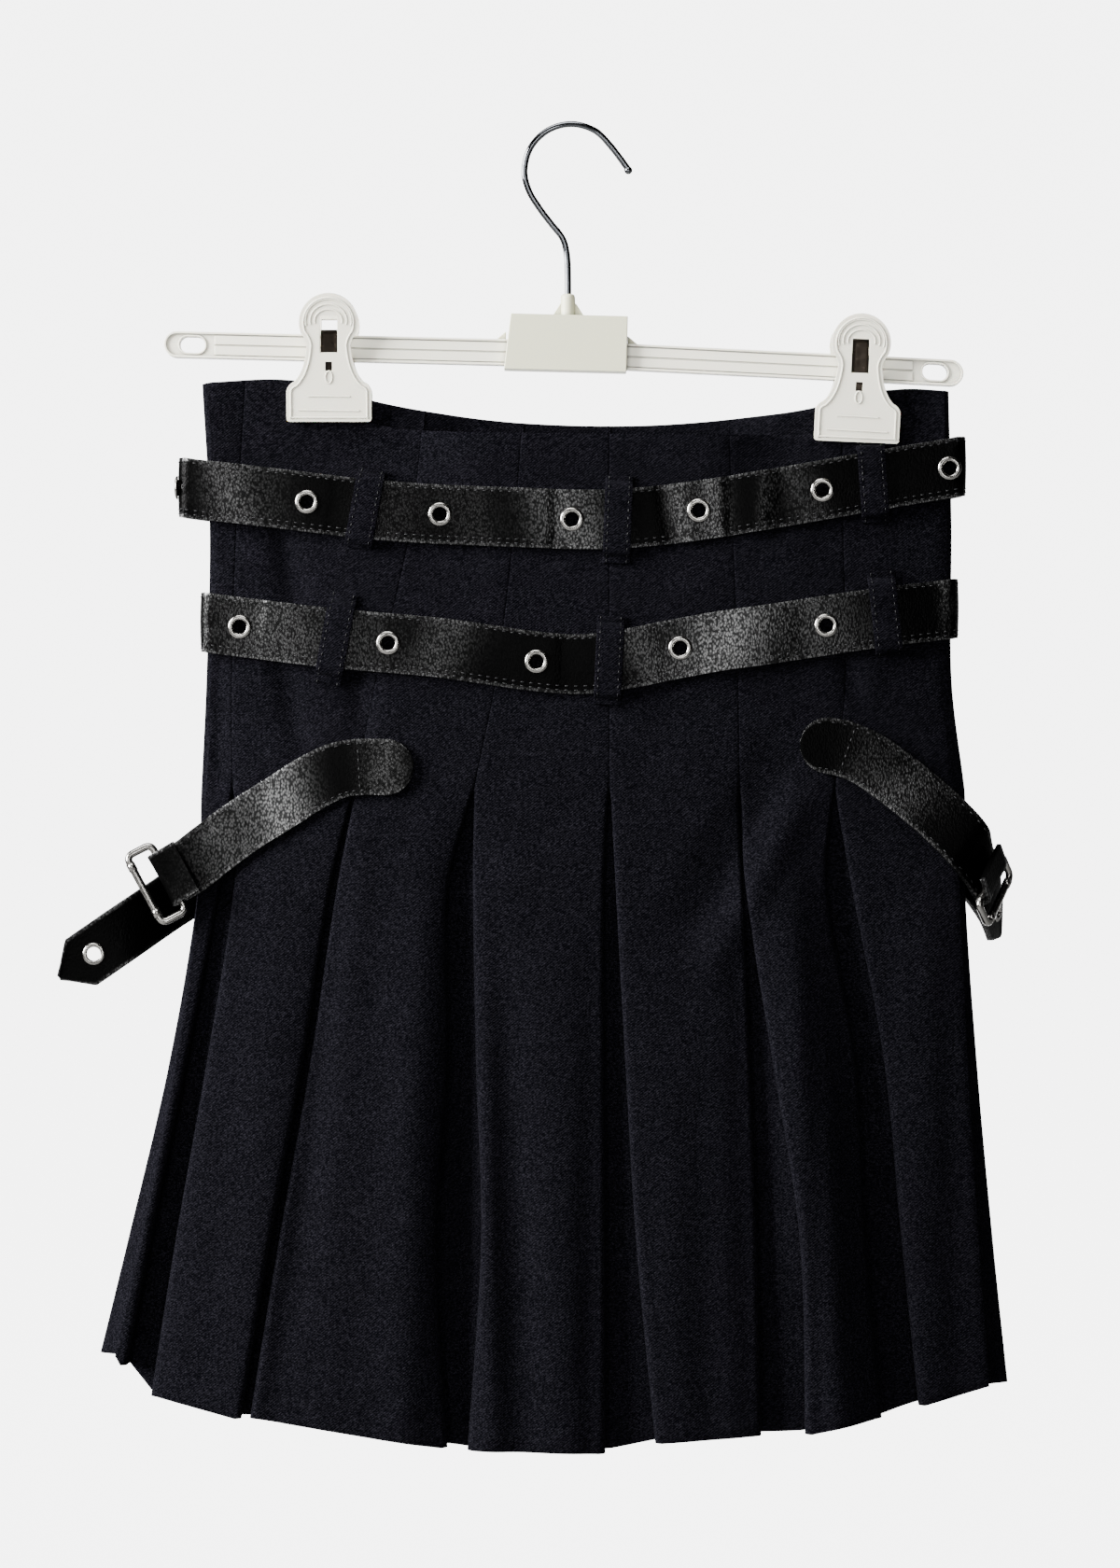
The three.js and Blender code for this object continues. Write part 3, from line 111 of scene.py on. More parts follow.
# Half the skirt's depth at its middle and near its sides, and the step between pleat layers.
DEPTHS = {
    "z": (-122, -190, -262, -317, -362, -444, -528, -628),
    "middle": (7, 9, 12, 15, 18, 24, 30, 35),
    "side": (1.6, 1.7, 1.9, 3.4, 8, 12, 15, 17),
    "layer": (2, 2, 2, 2, 2.6, 3.6, 4.4, 5),
}

WAIST = {
    "x": (-180, -170, -130, -115, -95, -69, -20, 35, 92, 115, 137, 150, 178, 183),
    FRONT: (
        -124, -121.5, -121, -130, -140.5, -144.5, -146,
        -146.5, -146.5, -145, -133, -125.5, -125.5, -128,
    ),
    BACK: (
        -124, -121.5, -121, -125, -130, -135, -140.5,
        -141.5, -137, -133.5, -127, -125, -125.5, -128,
    ),
}

# The hem of each gore's face, at its left and its right edge.
HEMS = (
    (-583, -587), (-601.5, -611), (-611, -624.5), (-625.5, -627),
    (-622, -619), (-618, -611.5), (-605.5, -597),
)

Fold = namedtuple("Fold", "from_x from_z to_x to_z width height")

# The folds that the solids have too.
SOFT_FOLDS = (
    Fold(-43, -350, -36, -680, 6, 2.4),
    Fold(-32, -370, -20, -690, 9, -2.6),
    Fold(104, -350, 132, -690, 14, 4),
    Fold(102, -280, 42, -395, 9, -1.8),
    Fold(-70, -330, -76, -690, 14, 3),
)

# Smaller creases and swells; the back has the same ones mirrored and shallower.
FINE_FOLDS = tuple(Fold(*row) for row in (
    (-48, -322, -64, -700, 14, -6), (121, -322, 158, -700, 12, -5.5), (100, -330, 126, -700, 12, 2),
    (80, -340, 90, -700, 10, -3), (12, -345, 14, -700, 9, -2.4), (-106, -330, -152, -700, 8, -2.2),
    (-163, -330, -214, -700, 8, -2), (108, -292, 48, -402, 8, -2.4), (118, -302, 62, -412, 8, 2.2),
    (-160, -110, -149, -168, 5, -2.4), (-148, -146, -154, -176, 5, 0.9), (-141, -168, -129, -238, 6, -2.6),
    (-152, -180, -141, -246, 7, 0.9), (-141, -240, -124, -308, 7, -3), (-168, -248, -167, -322, 5, -1.8),
    (-104, -250, -97, -294, 5, -2.2), (-88, -266, -84, -304, 8, 0.7), (-54, -322, -52, -680, 6, -2),
    (86, -326, 104, -690, 9, 1.6), (113, -350, 119, -690, 6, -1.6), (146, -330, 160, -690, 8, -1.8),
    (128, -248, 140, -284, 5, -2.2), (143, -248, 134, -296, 6, 0.9), (58, -196, 66, -252, 9, 0.7),
    (42, -268, 36, -330, 10, -0.6), (-138, -352, -160, -690, 12, 1.3), (-116, -370, -132, -690, 9, -1.2),
    (-96, -322, -108, -430, 8, 0.9), (-8, -410, 0, -690, 12, 1), (6, -470, 9, -690, 5, -0.8),
    (62, -400, 68, -690, 9, -1), (44, -430, 54, -690, 9, 0.9), (176, -400, 186, -690, 7, -1),
    (168, -350, 174, -520, 8, 0.8), (-30, -150, -34, -250, 12, 0.5), (100, -150, 108, -240, 9, 0.6),
))
BACK_SHARE = 0.8
BACK_SHIFT = 3
UNEVEN = {"height": 0.28, "across": 24, "down": 36}

PINCH_WIDTH = (33, 74)
PINCH_HEIGHT = (-152, -190)
PINCHED_DEPTH = 0.95

RETURN_TOP = 9
RETURN_HEM = 24
RETURN_SHARE = 0.42
HOLLOW_SHARE = 0.5
PLEAT_OPENS = PLEAT_TOP + 12
HIDDEN_HEM = 1.0
# How deep the seam between two gores is pressed in, in pleat layers.
SEAM_DIP = 0.45

BELTS = (
    {
        "name": "upper",
        "left": -187,
        "right": 188,
        "x": (-186, -136, -86, -31, 15, 51, 99, 148, 186),
        "z": (-171.5, -177.5, -183.3, -186, -187.2, -184.2, -176.7, -168, -161.5),
        "eyelets": (-189, -125.2, -62.1, 0.4, 60.4, 119, 179.5),
    },
    {
        "name": "lower",
        "left": -176.5,
        "right": 184.5,
        "x": (-176, -117, -61, -16, 6, 27, 60, 99, 142, 184),
        "z": (-235.5, -243, -248.2, -254.6, -255.8, -253.2, -246.6, -240.8, -234.2, -229),
        "eyelets": (-157.1, -86.6, -16.4, 51.5, 120.7),
    },
)
ROUND_END = 5
BELT_STANDOFF = 0.5
BACK_SLACK = 7
BUCKLE_X = 4
BUCKLE_BARS = 24
BUCKLE_LENGTH = 40

# Where the leather swells and wrinkles: belt, X, width along the belt, height, lean over its width.
Wave = namedtuple("Wave", "belt x width height lean")
WAVES = tuple(Wave(*row) for row in (
    (0, -162, 13, 1.2, 4), (0, -138, 12, -0.5, 5), (0, -108, 11, -0.8, -2), (0, -84, 10, 0.7, 2),
    (0, -44, 11, -0.5, 5), (0, -14, 15, 1.4, 3), (0, 30, 10, -0.5, 3), (0, 45, 4, -1.2, 1),
    (0, 76, 3.8, -1.3, -2), (0, 89, 4.5, 1.1, -3), (0, 100, 5, -0.8, -3), (0, 148, 10, -0.6, 2),
    (1, -134, 18, 1.0, 7), (1, -100, 12, -0.7, 2), (1, -58, 15, 0.9, -3), (1, -36, 10, -0.4, 5),
    (1, -4, 9, -0.9, 3), (1, 34, 10, 0.9, 4), (1, 84, 20, 1.5, -4), (1, 112, 7, -0.5, 2),
    (1, 156, 12, 0.7, 3),
))
EYELET_QUIET = (7, 13)

# Where handling has burnished the leather: strip, X, half width, shine, lean over the strip's width.
Shine = namedtuple("Shine", "strip x width level lean")
SHINES = tuple(Shine(*row) for row in (
    ("upper", -162, 10, 0.38, 3), ("upper", -146, 14, 0.08, 3), ("upper", -84, 16, 0.08, -3),
    ("upper", -48, 12, 0.09, 4), ("upper", -2, 15, 0.55, 3), ("upper", 52, 5, 0.5, 1),
    ("upper", 67, 6, 0.6, -1), ("upper", 93, 3, 0.4, -3), ("upper", 110, 8, 0.15, 3),
    ("lower", -142, 24, 0.34, 4), ("lower", -98, 14, 0.12, 3), ("lower", -62, 13, 0.22, -4),
    ("lower", 37, 10, 0.3, 5), ("lower", 74, 20, 0.95, -5), ("lower", 118, 18, 0.28, 3),
    ("lower", 180, 4, 0.35, 0), ("front_left", -88, 9, 0.26, 0), ("front_left", -138, 11, 1.1, 3),
    ("front_left", -163, 13, 0.32, 2), ("front_right", 142, 10, 0.14, 0), ("front_right", 160, 10, 0.4, -3),
))
EDGE_SHINE = 0.6

Loop = namedtuple("Loop", "name belt top bottom")
LOOPS = (
    Loop("upper_left", 0, (-94.3, -163), (-101.2, -200.5)),
    Loop("upper_centre", 0, (22.9, -166.5), (21.3, -208)),
    Loop("upper_right", 0, (141.8, -151.8), (144.5, -188.5)),
    Loop("lower_left", 1, (-107.6, -222), (-115.6, -264.6)),
    Loop("lower_centre", 1, (18.9, -233), (16.9, -275)),
    Loop("lower_right", 1, (146.7, -211.7), (150.9, -251)),
)

# Hip straps: points of the middle line as X, Z, then Y and turn in degrees where it hangs free.
STRAPS = (
    {
        "name": "front_left",
        "side": FRONT,
        "tab": (-74.6, -304.5),
        "path": (
            (-101, -304.5), (-111, -306.3), (-123, -312), (-138.5, -321.8),
            (-155.4, -332.4), (-170.5, -343.5), (-181, -351.6, -10.4, -8), (-190, -356.8, -8.6, -14),
        ),
    },
    {
        "name": "front_right",
        "side": FRONT,
        "tab": (108.3, -294.3),
        "path": (
            (130, -296.1), (141.6, -301.4), (158.5, -313.6), (170.9, -323.8),
            (180.2, -332.4), (188, -341, -9.8, 22), (193.6, -350, -3.6, 48), (196.8, -358, 2.2, 62),
        ),
    },
    {
        "name": "back_left",
        "side": BACK,
        "tab": (-74.6, -304.5),
        "eyelet": (-226.8, -393.2),
        "path": (
            (-101, -304.5), (-111, -307.5), (-123, -315), (-140, -329),
            (-160, -345), (-173, -355.4), (-184, -363.4, 12, -14), (-194, -370.2, 7.4, -26),
            (-206, -378.6, 1.6, -22), (-218, -387, -2.4, -4), (-233, -397.4, -3.4, -4),
        ),
    },
    {
        "name": "back_right",
        "side": BACK,
        "tab": (108.3, -294.3),
        "eyelet": (203.1, -373.6),
        "path": (
            (130, -296.1), (141.6, -301.4), (158.5, -314.4), (170.9, -326),
            (181, -337), (189.6, -348, 13.4, -8), (196, -358, 17, -34), (201, -368, 25, -56),
            (204.6, -378, 36, -66),
        ),
    },
)
STRAP_LIFT = 0.3
STRAP_POINT = 12.5
HEEL_RADIUS = WIRE / 2 + 0.6 + STRAP_THICK / 2
HEEL_FOLD = 11
HIP_BARS = 13
HIP_LENGTH = 36
HIP_CORNER = 3
HIP_WIRE = 3.6
HIP_LIFT = {"left": 20, "right": 4}

# The hanger's bar: its middle line, and its sizes round that line.
BAR_X = (-193.5, -3.55, 186.4)
BAR_Z = (-103.4, -108, -117.4)
BAR = {"height": 12.4, "rim": 1.1, "rim_depth": 8, "web_depth": 6, "band_depth": 7.1}
BAR_EYE = {"inset": 7.5, "length": 12, "height": 7.6}
CLIPS = (
    {"name": "left", "x": -115, "tilt": 0, "spring_top": 8.2},
    {"name": "right", "x": 137, "tilt": -2.5, "spring_top": 13.5},
)
LEVER = {"thick": 2.4, "bottom": -34.8, "slope": 9.1, "grip": 1.95}
BLOCK = {"left": -31, "right": 26.8, "top": -89.8, "bottom": -116.2, "depth": 14, "tilt": -1.4}
STEM_X = -1.5

LENS_POWER = 2.6
UPPER_ROWS = 44
LOWER_ROWS = 62
FACE_COLUMNS = 26
SIDE_COLUMNS = {"left": 8, "right": 18}
BELT_CROSS = 16
STRAP_CROSS = 14
LOOP_CROSS = 12
PUNCHED = 4.3

# The stage, in metres: the middle of the picture, and the camera before it.
MIDDLE_Z = -0.3125
CAMERA = (-0.0053, -2.4, MIDDLE_Z)
LENS = 115.8
SENSOR = 36
FLOOR_Z = -1.5
WALL_TOP = 3.5
ROOM_REACH = 14
COVE = 0.3

Station = namedtuple("Station", "at along across face half")
Column = namedtuple("Column", "side at hem full")


def clamp(value, low, high):
    return min(max(value, low), high)


def lerp(a, b, share):
    return a + (b - a) * share


def ease(value, low, high):
    """0 at low, 1 at high, and soft between them."""
    share = clamp((value - low) / (high - low), 0.0, 1.0)
    return share * share * (3 - 2 * share)


def around(items, i):
    """The items before and after one of them, or the one itself at an end."""
    return items[max(i - 1, 0)], items[min(i + 1, len(items) - 1)]


def turned(degrees, axis, at=(0, 0, 0)):
    """A matrix that turns round an axis and then moves to a place."""
    return Matrix.Translation(at) @ Matrix.Rotation(math.radians(degrees), 4, axis)


def curve_value(levels, values, at):
    """A value read from a table by a smooth curve through its rows."""
    rising = levels[1] > levels[0]
    last = len(levels) - 1
    i = 0
    while i < last - 1 and (at > levels[i + 1] if rising else at < levels[i + 1]):
        i += 1
    span = levels[i + 1] - levels[i]
    t = clamp((at - levels[i]) / span, 0.0, 1.0)
    low = max(i - 1, 0)
    high = min(i + 2, last)
    first = (values[i + 1] - values[low]) / (levels[i + 1] - levels[low])
    second = (values[high] - values[i]) / (levels[high] - levels[i])
    a = (2 * t - 3) * t * t + 1
    b = ((t - 2) * t + 1) * t
    c = (t - 1) * t * t
    return a * values[i] + b * span * first + (1 - a) * values[i + 1] + c * span * second


def side_x(side, what, z):
    if z > PLEAT_TOP:
        return curve_value(SEAM_LEVELS, SIDES[side][what], z)
    return curve_value(FOLD_LEVELS, SIDES[side][what + "_flare"], z)


def lens_depth(x, z):
    left = side_x("left", "edge", z)
    right = side_x("right", "edge", z)
    share = clamp(abs((2 * x - left - right) / (right - left)), 0, 1)
    side = curve_value(DEPTHS["z"], DEPTHS["side"], z)
    middle = curve_value(DEPTHS["z"], DEPTHS["middle"], z)
    return side + (middle - side) * (1 - share**LENS_POWER)


def pinch(x, z):
    if z < PINCH_HEIGHT[1]:
        return 0.0
    across = max(1 - ease(abs(x - clip["x"]), *PINCH_WIDTH) for clip in CLIPS)
    return across * ease(z, PINCH_HEIGHT[1], PINCH_HEIGHT[0])


def folds_at(folds, x, z):
    total = 0.0
    for fold in folds:
        along = (z - fold.from_z) / (fold.to_z - fold.from_z)
        if not 0 < along < 1:
            continue
        away = (x - lerp(fold.from_x, fold.to_x, along)) / fold.width
        if abs(away) < 3:
            total += fold.height * math.sin(math.pi * along) ** 0.7 * math.exp(-away * away)
    return total


def cloth_depth(x, z):
    """The middle of the cloth wall in the solids, as a distance from y = 0."""
    plain = lens_depth(x, z)
    return lerp(plain, PINCHED_DEPTH, pinch(x, z)) + folds_at(SOFT_FOLDS, x, z)


def cover(side, x, z):
    """1 where a belt or a strap presses on the cloth, 0 away from them."""
    most = 0.0
    for belt in BELTS:
        away = abs(z - belt_z(belt, x))
        most = max(most, 1 - ease(away, BELT_WIDTH / 2 + 2, BELT_WIDTH / 2 + 10))
    for strap in STRAPS:
        if strap["side"] != side or not -360 < z < -275:
            continue
        for x0, z0, *_ in (strap["tab"], *strap["path"]):
            away = math.hypot(x - x0, z - z0)
            most = max(most, 1 - ease(away, STRAP_WIDTH / 2 + 3, STRAP_WIDTH / 2 + 12))
    return most


def shown_depth(side, x, z):
    """The cloth as it is seen: the solids' form with its fine creases."""
    at_x = x if side == FRONT else BACK_SHIFT - x
    fine = folds_at(FINE_FOLDS, at_x, z) * (1 if side == FRONT else BACK_SHARE)
    spot = Vector((x / UNEVEN["across"], z / UNEVEN["down"], side * 3.7))
    fine += UNEVEN["height"] * noise.noise(spot)
    if fine > 0:
        fine *= 1 - cover(side, x, z)
    return cloth_depth(x, z) + fine * (1 - pinch(x, z))


def fold_edge(pleat, edge, z):
    if z > PLEAT_TOP:
        half = -SEAM_GAP / 2 if edge == "left" else SEAM_GAP / 2
        return curve_value(SEAM_LEVELS, pleat.seam, z) + half
    return curve_value(FOLD_LEVELS, getattr(pleat, edge), z)


def layer_step(z):
    return curve_value(DEPTHS["z"], DEPTHS["layer"], z)


def gore_width(index, z):
    if index in (0, len(PLEATS)):
        return math.inf
    return fold_edge(PLEATS[index], "left", z) - fold_edge(PLEATS[index - 1], "right", z)


def return_width(width, z):
    down = (PLEAT_TOP - z) / (PLEAT_TOP - FOLD_LEVELS[-1])
    return min(lerp(RETURN_TOP, RETURN_HEM, down), RETURN_SHARE * width)


def gore_column(side, place, hem, full=True):
    def at(z):
        x, layers = place(z)
        return x, side * (shown_depth(side, x, z) - layers * layer_step(z))

    return Column(side, at, hem, full)


def between(start, end, share, layers):
    return lambda z: (lerp(start(z), end(z), share), layers)


def fold_columns(side, edge, toward, hem, steps=4):
    """The rounded fold from the layer under the face up to the face."""

    def place(turn):
        def at(z):
            sunk = 1 - ease(z, PLEAT_TOP, PLEAT_OPENS)
            radius = layer_step(z) / 2
            x = edge(z) + toward * (sunk * CLOTH / 2 + radius * (1 - math.sin(math.pi * turn)))
            return x, lerp(SEAM_DIP, 0.5, sunk) * (1 + math.cos(math.pi * turn))

        return at

    turns = [i / (2 * steps) for i in range(2 * steps + 1)]
    return [gore_column(side, place(turn), hem + 0.6 * (1 - turn), turn >= 0.5) for turn in turns]


def hem_at(x):
    """The height of the hem of the face at X."""
    xs = [SIDES["left"]["edge_flare"][-1]]
    for pleat in PLEATS:
        xs += [pleat.left[-1], pleat.right[-1]]
    xs.append(SIDES["right"]["edge_flare"][-1])
    zs = [z for pair in HEMS for z in pair]
    i = max(k for k in range(len(xs) - 1) if xs[k] <= x or k == 0)
    return lerp(zs[i], zs[i + 1], clamp((x - xs[i]) / (xs[i + 1] - xs[i]), 0, 1))


def hidden_column(side, place):
    """A column behind the faces, which ends a little above their hem."""
    return gore_column(side, place, hem_at(place(FOLD_LEVELS[-1])[0]) + HIDDEN_HEM, False)


def folded_edge(side, index, pleat_index, toward, hem):
    """From the end of the underlay, or of the turned-under edge, to where the face starts."""
    pleat = PLEATS[pleat_index]
    mine, other = ("right", "left") if toward > 0 else ("left", "right")

    def edge(z):
        return fold_edge(pleat, mine, z)

    def start(z):
        return edge(z) + toward * return_width(gore_width(index, z), z)

    def inner(z):
        return edge(z) + toward * (CLOTH / 2 + layer_step(z) / 2)

    fold = fold_columns(side, edge, toward, hem)
    if toward > 0:
        under = [hidden_column(side, between(start, inner, i / 5, 1)) for i in range(5)]
        return [*under, *fold]

    def beyond(z):
        return fold_edge(pleat, other, z) + return_width(gore_width(index + 1, z), z)

    far = start if index else edge
    underlay = [hidden_column(side, between(beyond, far, i / 10, 2)) for i in range(10)]
    if not index:
        step = [(0.6, 2), (-0.1, 1.8), (-CLOTH / 2, 1.3), (-CLOTH / 2, 0.9)]
        rise = [
            gore_column(side, lambda z, dx=dx, layer=layer: (edge(z) + dx, layer), hem + layer / 4, False)
            for dx, layer in step
        ]
        return [*underlay, *rise, *fold[len(fold) // 2 :]]

    def turned(turn):
        radius = math.sin(math.pi * turn) / 2
        return lambda z: (start(z) - radius * layer_step(z), 1.5 + 0.5 * math.cos(math.pi * turn))

    turn_under = [hidden_column(side, turned(i / 6)) for i in range(7)]
    under = [hidden_column(side, between(start, inner, i / 5, 1)) for i in range(1, 5)]
    return [*underlay, *turn_under, *under, *fold]


def face_columns(side, start, end, hems, count):
    return [
        gore_column(
            side,
            lambda z, share=i / count: (lerp(start(z), end(z), share), 0),
            lerp(hems[0], hems[1], i / count),
        )
        for i in range(1, count)
    ]


def middle_gore(side, index):
    first, last = HEMS[index]
    start = folded_edge(side, index, index - 1, 1, first)
    end = folded_edge(side, index, index, -1, last)[::-1]
    faces = face_columns(
        side, lambda z: start[-1].at(z)[0], lambda z: end[0].at(z)[0], HEMS[index], FACE_COLUMNS
    )
    return [*start, *faces, *end]


def half_side(side, name, index):
    """Half of a side gore: from its fold over the pressed ridge into the hollow at the side."""
    inward = 1 if name == "left" else -1
    out_hem, edge_hem = HEMS[index] if name == "left" else HEMS[index][::-1]
    pleat = 0 if name == "left" else len(PLEATS) - 1
    start = folded_edge(side, index, pleat, -inward, edge_hem)

    def flared(z):
        return 1 - ease(z, -400, PLEAT_TOP)

    def ridge(z):
        return side_x(name, "ridge", z)

    def outer(z):
        return side_x(name, "edge", z) + inward * CLOTH / 2

    def rows(share):
        """From the ridge at 0 through the hollow at 0.5 to the outermost line at 1."""

        def at(z):
            hollow_x = lerp(outer(z) + inward * 1.6, ridge(z) + inward * 1.2, flared(z))
            hollow_y = lerp(1.3, HOLLOW_SHARE * cloth_depth(ridge(z), z), flared(z))
            if share < 0.5:
                x = lerp(ridge(z), hollow_x, 2 * share)
                y = lerp(shown_depth(side, ridge(z), z), hollow_y, 2 * share)
            else:
                x = lerp(hollow_x, outer(z), 2 * share - 1)
                y = lerp(hollow_y, 0, 2 * share - 1)
            return x, side * y

        return at

    hems = (edge_hem, out_hem)
    faces = face_columns(side, lambda z: start[-1].at(z)[0], ridge, hems, SIDE_COLUMNS[name])
    turn = [Column(side, rows(i / 12), out_hem, True) for i in range(13)]
    return [*start, *faces, *turn]


def side_gore(name, index):
    front = half_side(FRONT, name, index)
    back = half_side(BACK, name, index)
    return [*front, *back[-2::-1]]


def gore_points(columns):
    stacks = []
    for entry in columns:
        top = curve_value(WAIST["x"], WAIST[entry.side], entry.at(-130)[0])
        heights = [lerp(top, PLEAT_OPENS, i / UPPER_ROWS) for i in range(UPPER_ROWS)]
        heights += [lerp(PLEAT_OPENS, entry.hem, i / LOWER_ROWS) for i in range(LOWER_ROWS + 1)]
        stacks.append([Vector((*entry.at(z), z)) for z in heights])
    return [[stack[r] for stack in stacks] for r in range(UPPER_ROWS + LOWER_ROWS + 1)]


def sheet_grid(bm, points, keep=None, shine=None):
    """A grid of faces over rows of points; keep says which cells there are."""
    worn = bm.verts.layers.float.new("shine") if shine else None
    rows = len(points) - 1
    columns = len(points[0]) - 1
    made = bmesh.ops.create_grid(bm, x_segments=columns, y_segments=rows, size=1.0)["verts"]

    def place(co):
        return (1 - co.y) / 2 * rows, (co.x + 1) / 2 * columns

    if keep:
        faces = {face for vert in made for face in vert.link_faces}
        gone = [face for face in faces if not keep(*map(math.floor, place(face.calc_center_median())))]
        for vert in made:
            vert.tag = True
        bmesh.ops.delete(bm, geom=gone, context="FACES")
        made = [vert for vert in bm.verts if vert.tag]
    for vert in made:
        r, c = (round(value) for value in place(vert.co))
        vert.co = points[r][c]
        vert.tag = False
        if shine:
            vert[worn] = shine(r, c)


def sheet_sizes(points, keep=None):
    """The flat width, length and area of the cloth in a grid of points, in metres."""
    widths = [0.0] * (len(points) - 1)
    lengths = [0.0] * (len(points[0]) - 1)
    area = 0.0
    for r, (row, below) in enumerate(zip(points, points[1:])):
        for c, (a, b, d, e) in enumerate(zip(row, row[1:], below, below[1:])):
            if keep and not keep(r, c):
                continue
            widths[r] += ((b - a).length + (e - d).length) / 2
            lengths[c] += ((d - a).length + (e - b).length) / 2
            area += ((e - a).cross(d - b)).length / 2
    return max(widths) * MM, max(lengths) * MM, area * MM * MM


def finish_piece(name, bm, kind, nodes, thick=0.0, rim=0.0, hard=False, segments=2, slot=None):
    """Turns the shape to metres, gives it its wall and rounded edges and puts it on the frame."""
    bmesh.ops.scale(bm, vec=(MM, MM, MM), verts=bm.verts)
    mesh = bpy.data.meshes.new(name)
    bm.to_mesh(mesh)
    bm.free()
    mesh.materials.append(finish(kind))
    mesh.shade_smooth()
    slot = slot or kind
    obj = bpy.data.objects.new(name, mesh)
    bpy.context.scene.collection.objects.link(obj)
    if thick:
        wall = obj.modifiers.new("Wall", "SOLIDIFY")
        wall.thickness = thick * MM
        wall.offset = 0
        wall.use_even_offset = slot != "twill"
    if rim:
        edge = obj.modifiers.new("Edge", "BEVEL")
        edge.width = rim * MM
        edge.segments = segments
        edge.limit_method = "ANGLE"
        edge.angle_limit = math.radians(38)
        edge.harden_normals = hard
    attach(obj, "root")
    if nodes:
        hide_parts(*nodes)
    return obj


# Strips


def seat_on(depth_at, x, z, reach_x, reach_z):
    """A depth at which a flat strip clears a surface, and the surface's slopes there."""
    slope_x = (depth_at(x + reach_x, z) - depth_at(x - reach_x, z)) / (2 * reach_x)
    slope_z = (depth_at(x, z + reach_z) - depth_at(x, z - reach_z)) / (2 * reach_z)
    depth = depth_at(x, z)
    for i in (-1, -0.5, 0, 0.5, 1):
        for j in (-1, -0.5, 0, 0.5, 1):
            dx = i * reach_x
            dz = j * reach_z
            depth = max(depth, depth_at(x + dx, z + dz) - slope_x * dx - slope_z * dz)
    return depth, slope_x, slope_z


def cloth_face(x, z):
    return cloth_depth(x, z) + CLOTH / 2


def strip_stations(rows, spacing):
    """Closely spaced stations on a smooth line through rows of point, face and half width."""
    levels = [0.0]
    for (at, *_), (after, *_) in zip(rows, rows[1:]):
        levels.append(levels[-1] + (after - at).length)
    count = max(int(levels[-1] / spacing), 2)
    parts = [[row[0][k] for row in rows] for k in range(3)]
    faces = [[row[1][k] for row in rows] for k in range(3)]
    halves = [row[2] for row in rows]
    points = []
    for i in range(count + 1):
        s = levels[-1] * i / count
        at = Vector([curve_value(levels, part, s) for part in parts])
        face = Vector([curve_value(levels, part, s) for part in faces]).normalized()
        k = max(j for j, level in enumerate(levels) if level <= s + 1e-6)
        k = min(k, len(levels) - 2)
        half = lerp(halves[k], halves[k + 1], (s - levels[k]) / (levels[k + 1] - levels[k]))
        points.append((at, face, half))
    stations = []
    for i, (at, face, half) in enumerate(points):
        before, after = around(points, i)
        along = (after[0] - before[0]).normalized()
        face = (face - along * face.dot(along)).normalized()
        stations.append(Station(at, along, along.cross(face).normalized(), face, half))
    return stations


def strip_points(stations, cross, relief):
    rows = []
    for i in range(cross + 1):
        v = 1 - 2 * i / cross
        rows.append([s.at + s.across * (s.half * v) + s.face * relief(s, v) for s in stations])
    return rows


def swell(spot, x, v):
    """How near a place on a strip is to the middle of a wave or a shine, from 0 to 1."""
    return math.exp(-(((x - spot.x - spot.lean * v) / spot.width) ** 2))


def shine_on(strip, stations, cross):
    """How burnished the leather is at each point of a strip's grid."""
    spots = [spot for spot in SHINES if spot.strip == strip]

    def shine(r, c):
        v = 1 - 2 * r / cross
        x = stations[c].at.x
        level = sum(spot.level * swell(spot, x, v) for spot in spots)
        return level + (EDGE_SHINE if abs(v) > 0.99 else 0)

    return shine


def cupped(depth):
    """A strip whose edges bend back a little."""
    return lambda station, v: -depth * v * v


def stitches(bm, stations, v, thick, relief, length=2.5, pitch=3.5, radius=0.3, skip=0.0):
    """A row of thread stitches on a strip's face, at a share v of its half width."""
    travelled = 0.0
    due = skip
    for before, after in zip(stations, stations[1:]):
        step = (after.at - before.at).length
        travelled += step
        if travelled < due or travelled < skip:
            continue
        due = travelled + pitch
        lift = thick / 2 + relief(after, v) + radius * 0.35
        spot = after.at + after.across * (after.half * v) + after.face * lift
        axes = (after.along * length / 2, after.across * radius, after.face * radius)
        matrix = Matrix([(*axis, 0) for axis in axes] + [(0, 0, 0, 1)]).transposed()
        matrix.translation = spot
        bmesh.ops.create_icosphere(bm, subdivisions=1, radius=1.0, matrix=matrix)


def basis(x, y, z, at):
    matrix = Matrix((x, y, z)).transposed().to_4x4()
    matrix.translation = at
    return matrix


def belt_z(belt, x):
    return curve_value(belt["x"], belt["z"], x)


def belt_ends(belt):
    inset = BELT_THICK / 2 + ROUND_END
    return belt["left"] + inset, belt["right"] - inset


def belt_depth(belt, x, side):
    left, right = belt_ends(belt)
    share = clamp(abs((2 * x - left - right) / (right - left)), 0, 1)
    lower_edge = belt_z(belt, x) - BELT_WIDTH / 2
    cloth = curve_value(DEPTHS["z"], DEPTHS["middle"], lower_edge) + CLOTH / 2
    middle = cloth + BELT_STANDOFF + BELT_THICK / 2 + (BACK_SLACK if side == BACK else 0)
    return ROUND_END + (middle - ROUND_END) * (1 - share**LENS_POWER)


def ring_point(belt, x, side, out=0.0):
    return Vector((x, side * (belt_depth(belt, x, side) + out), belt_z(belt, x)))


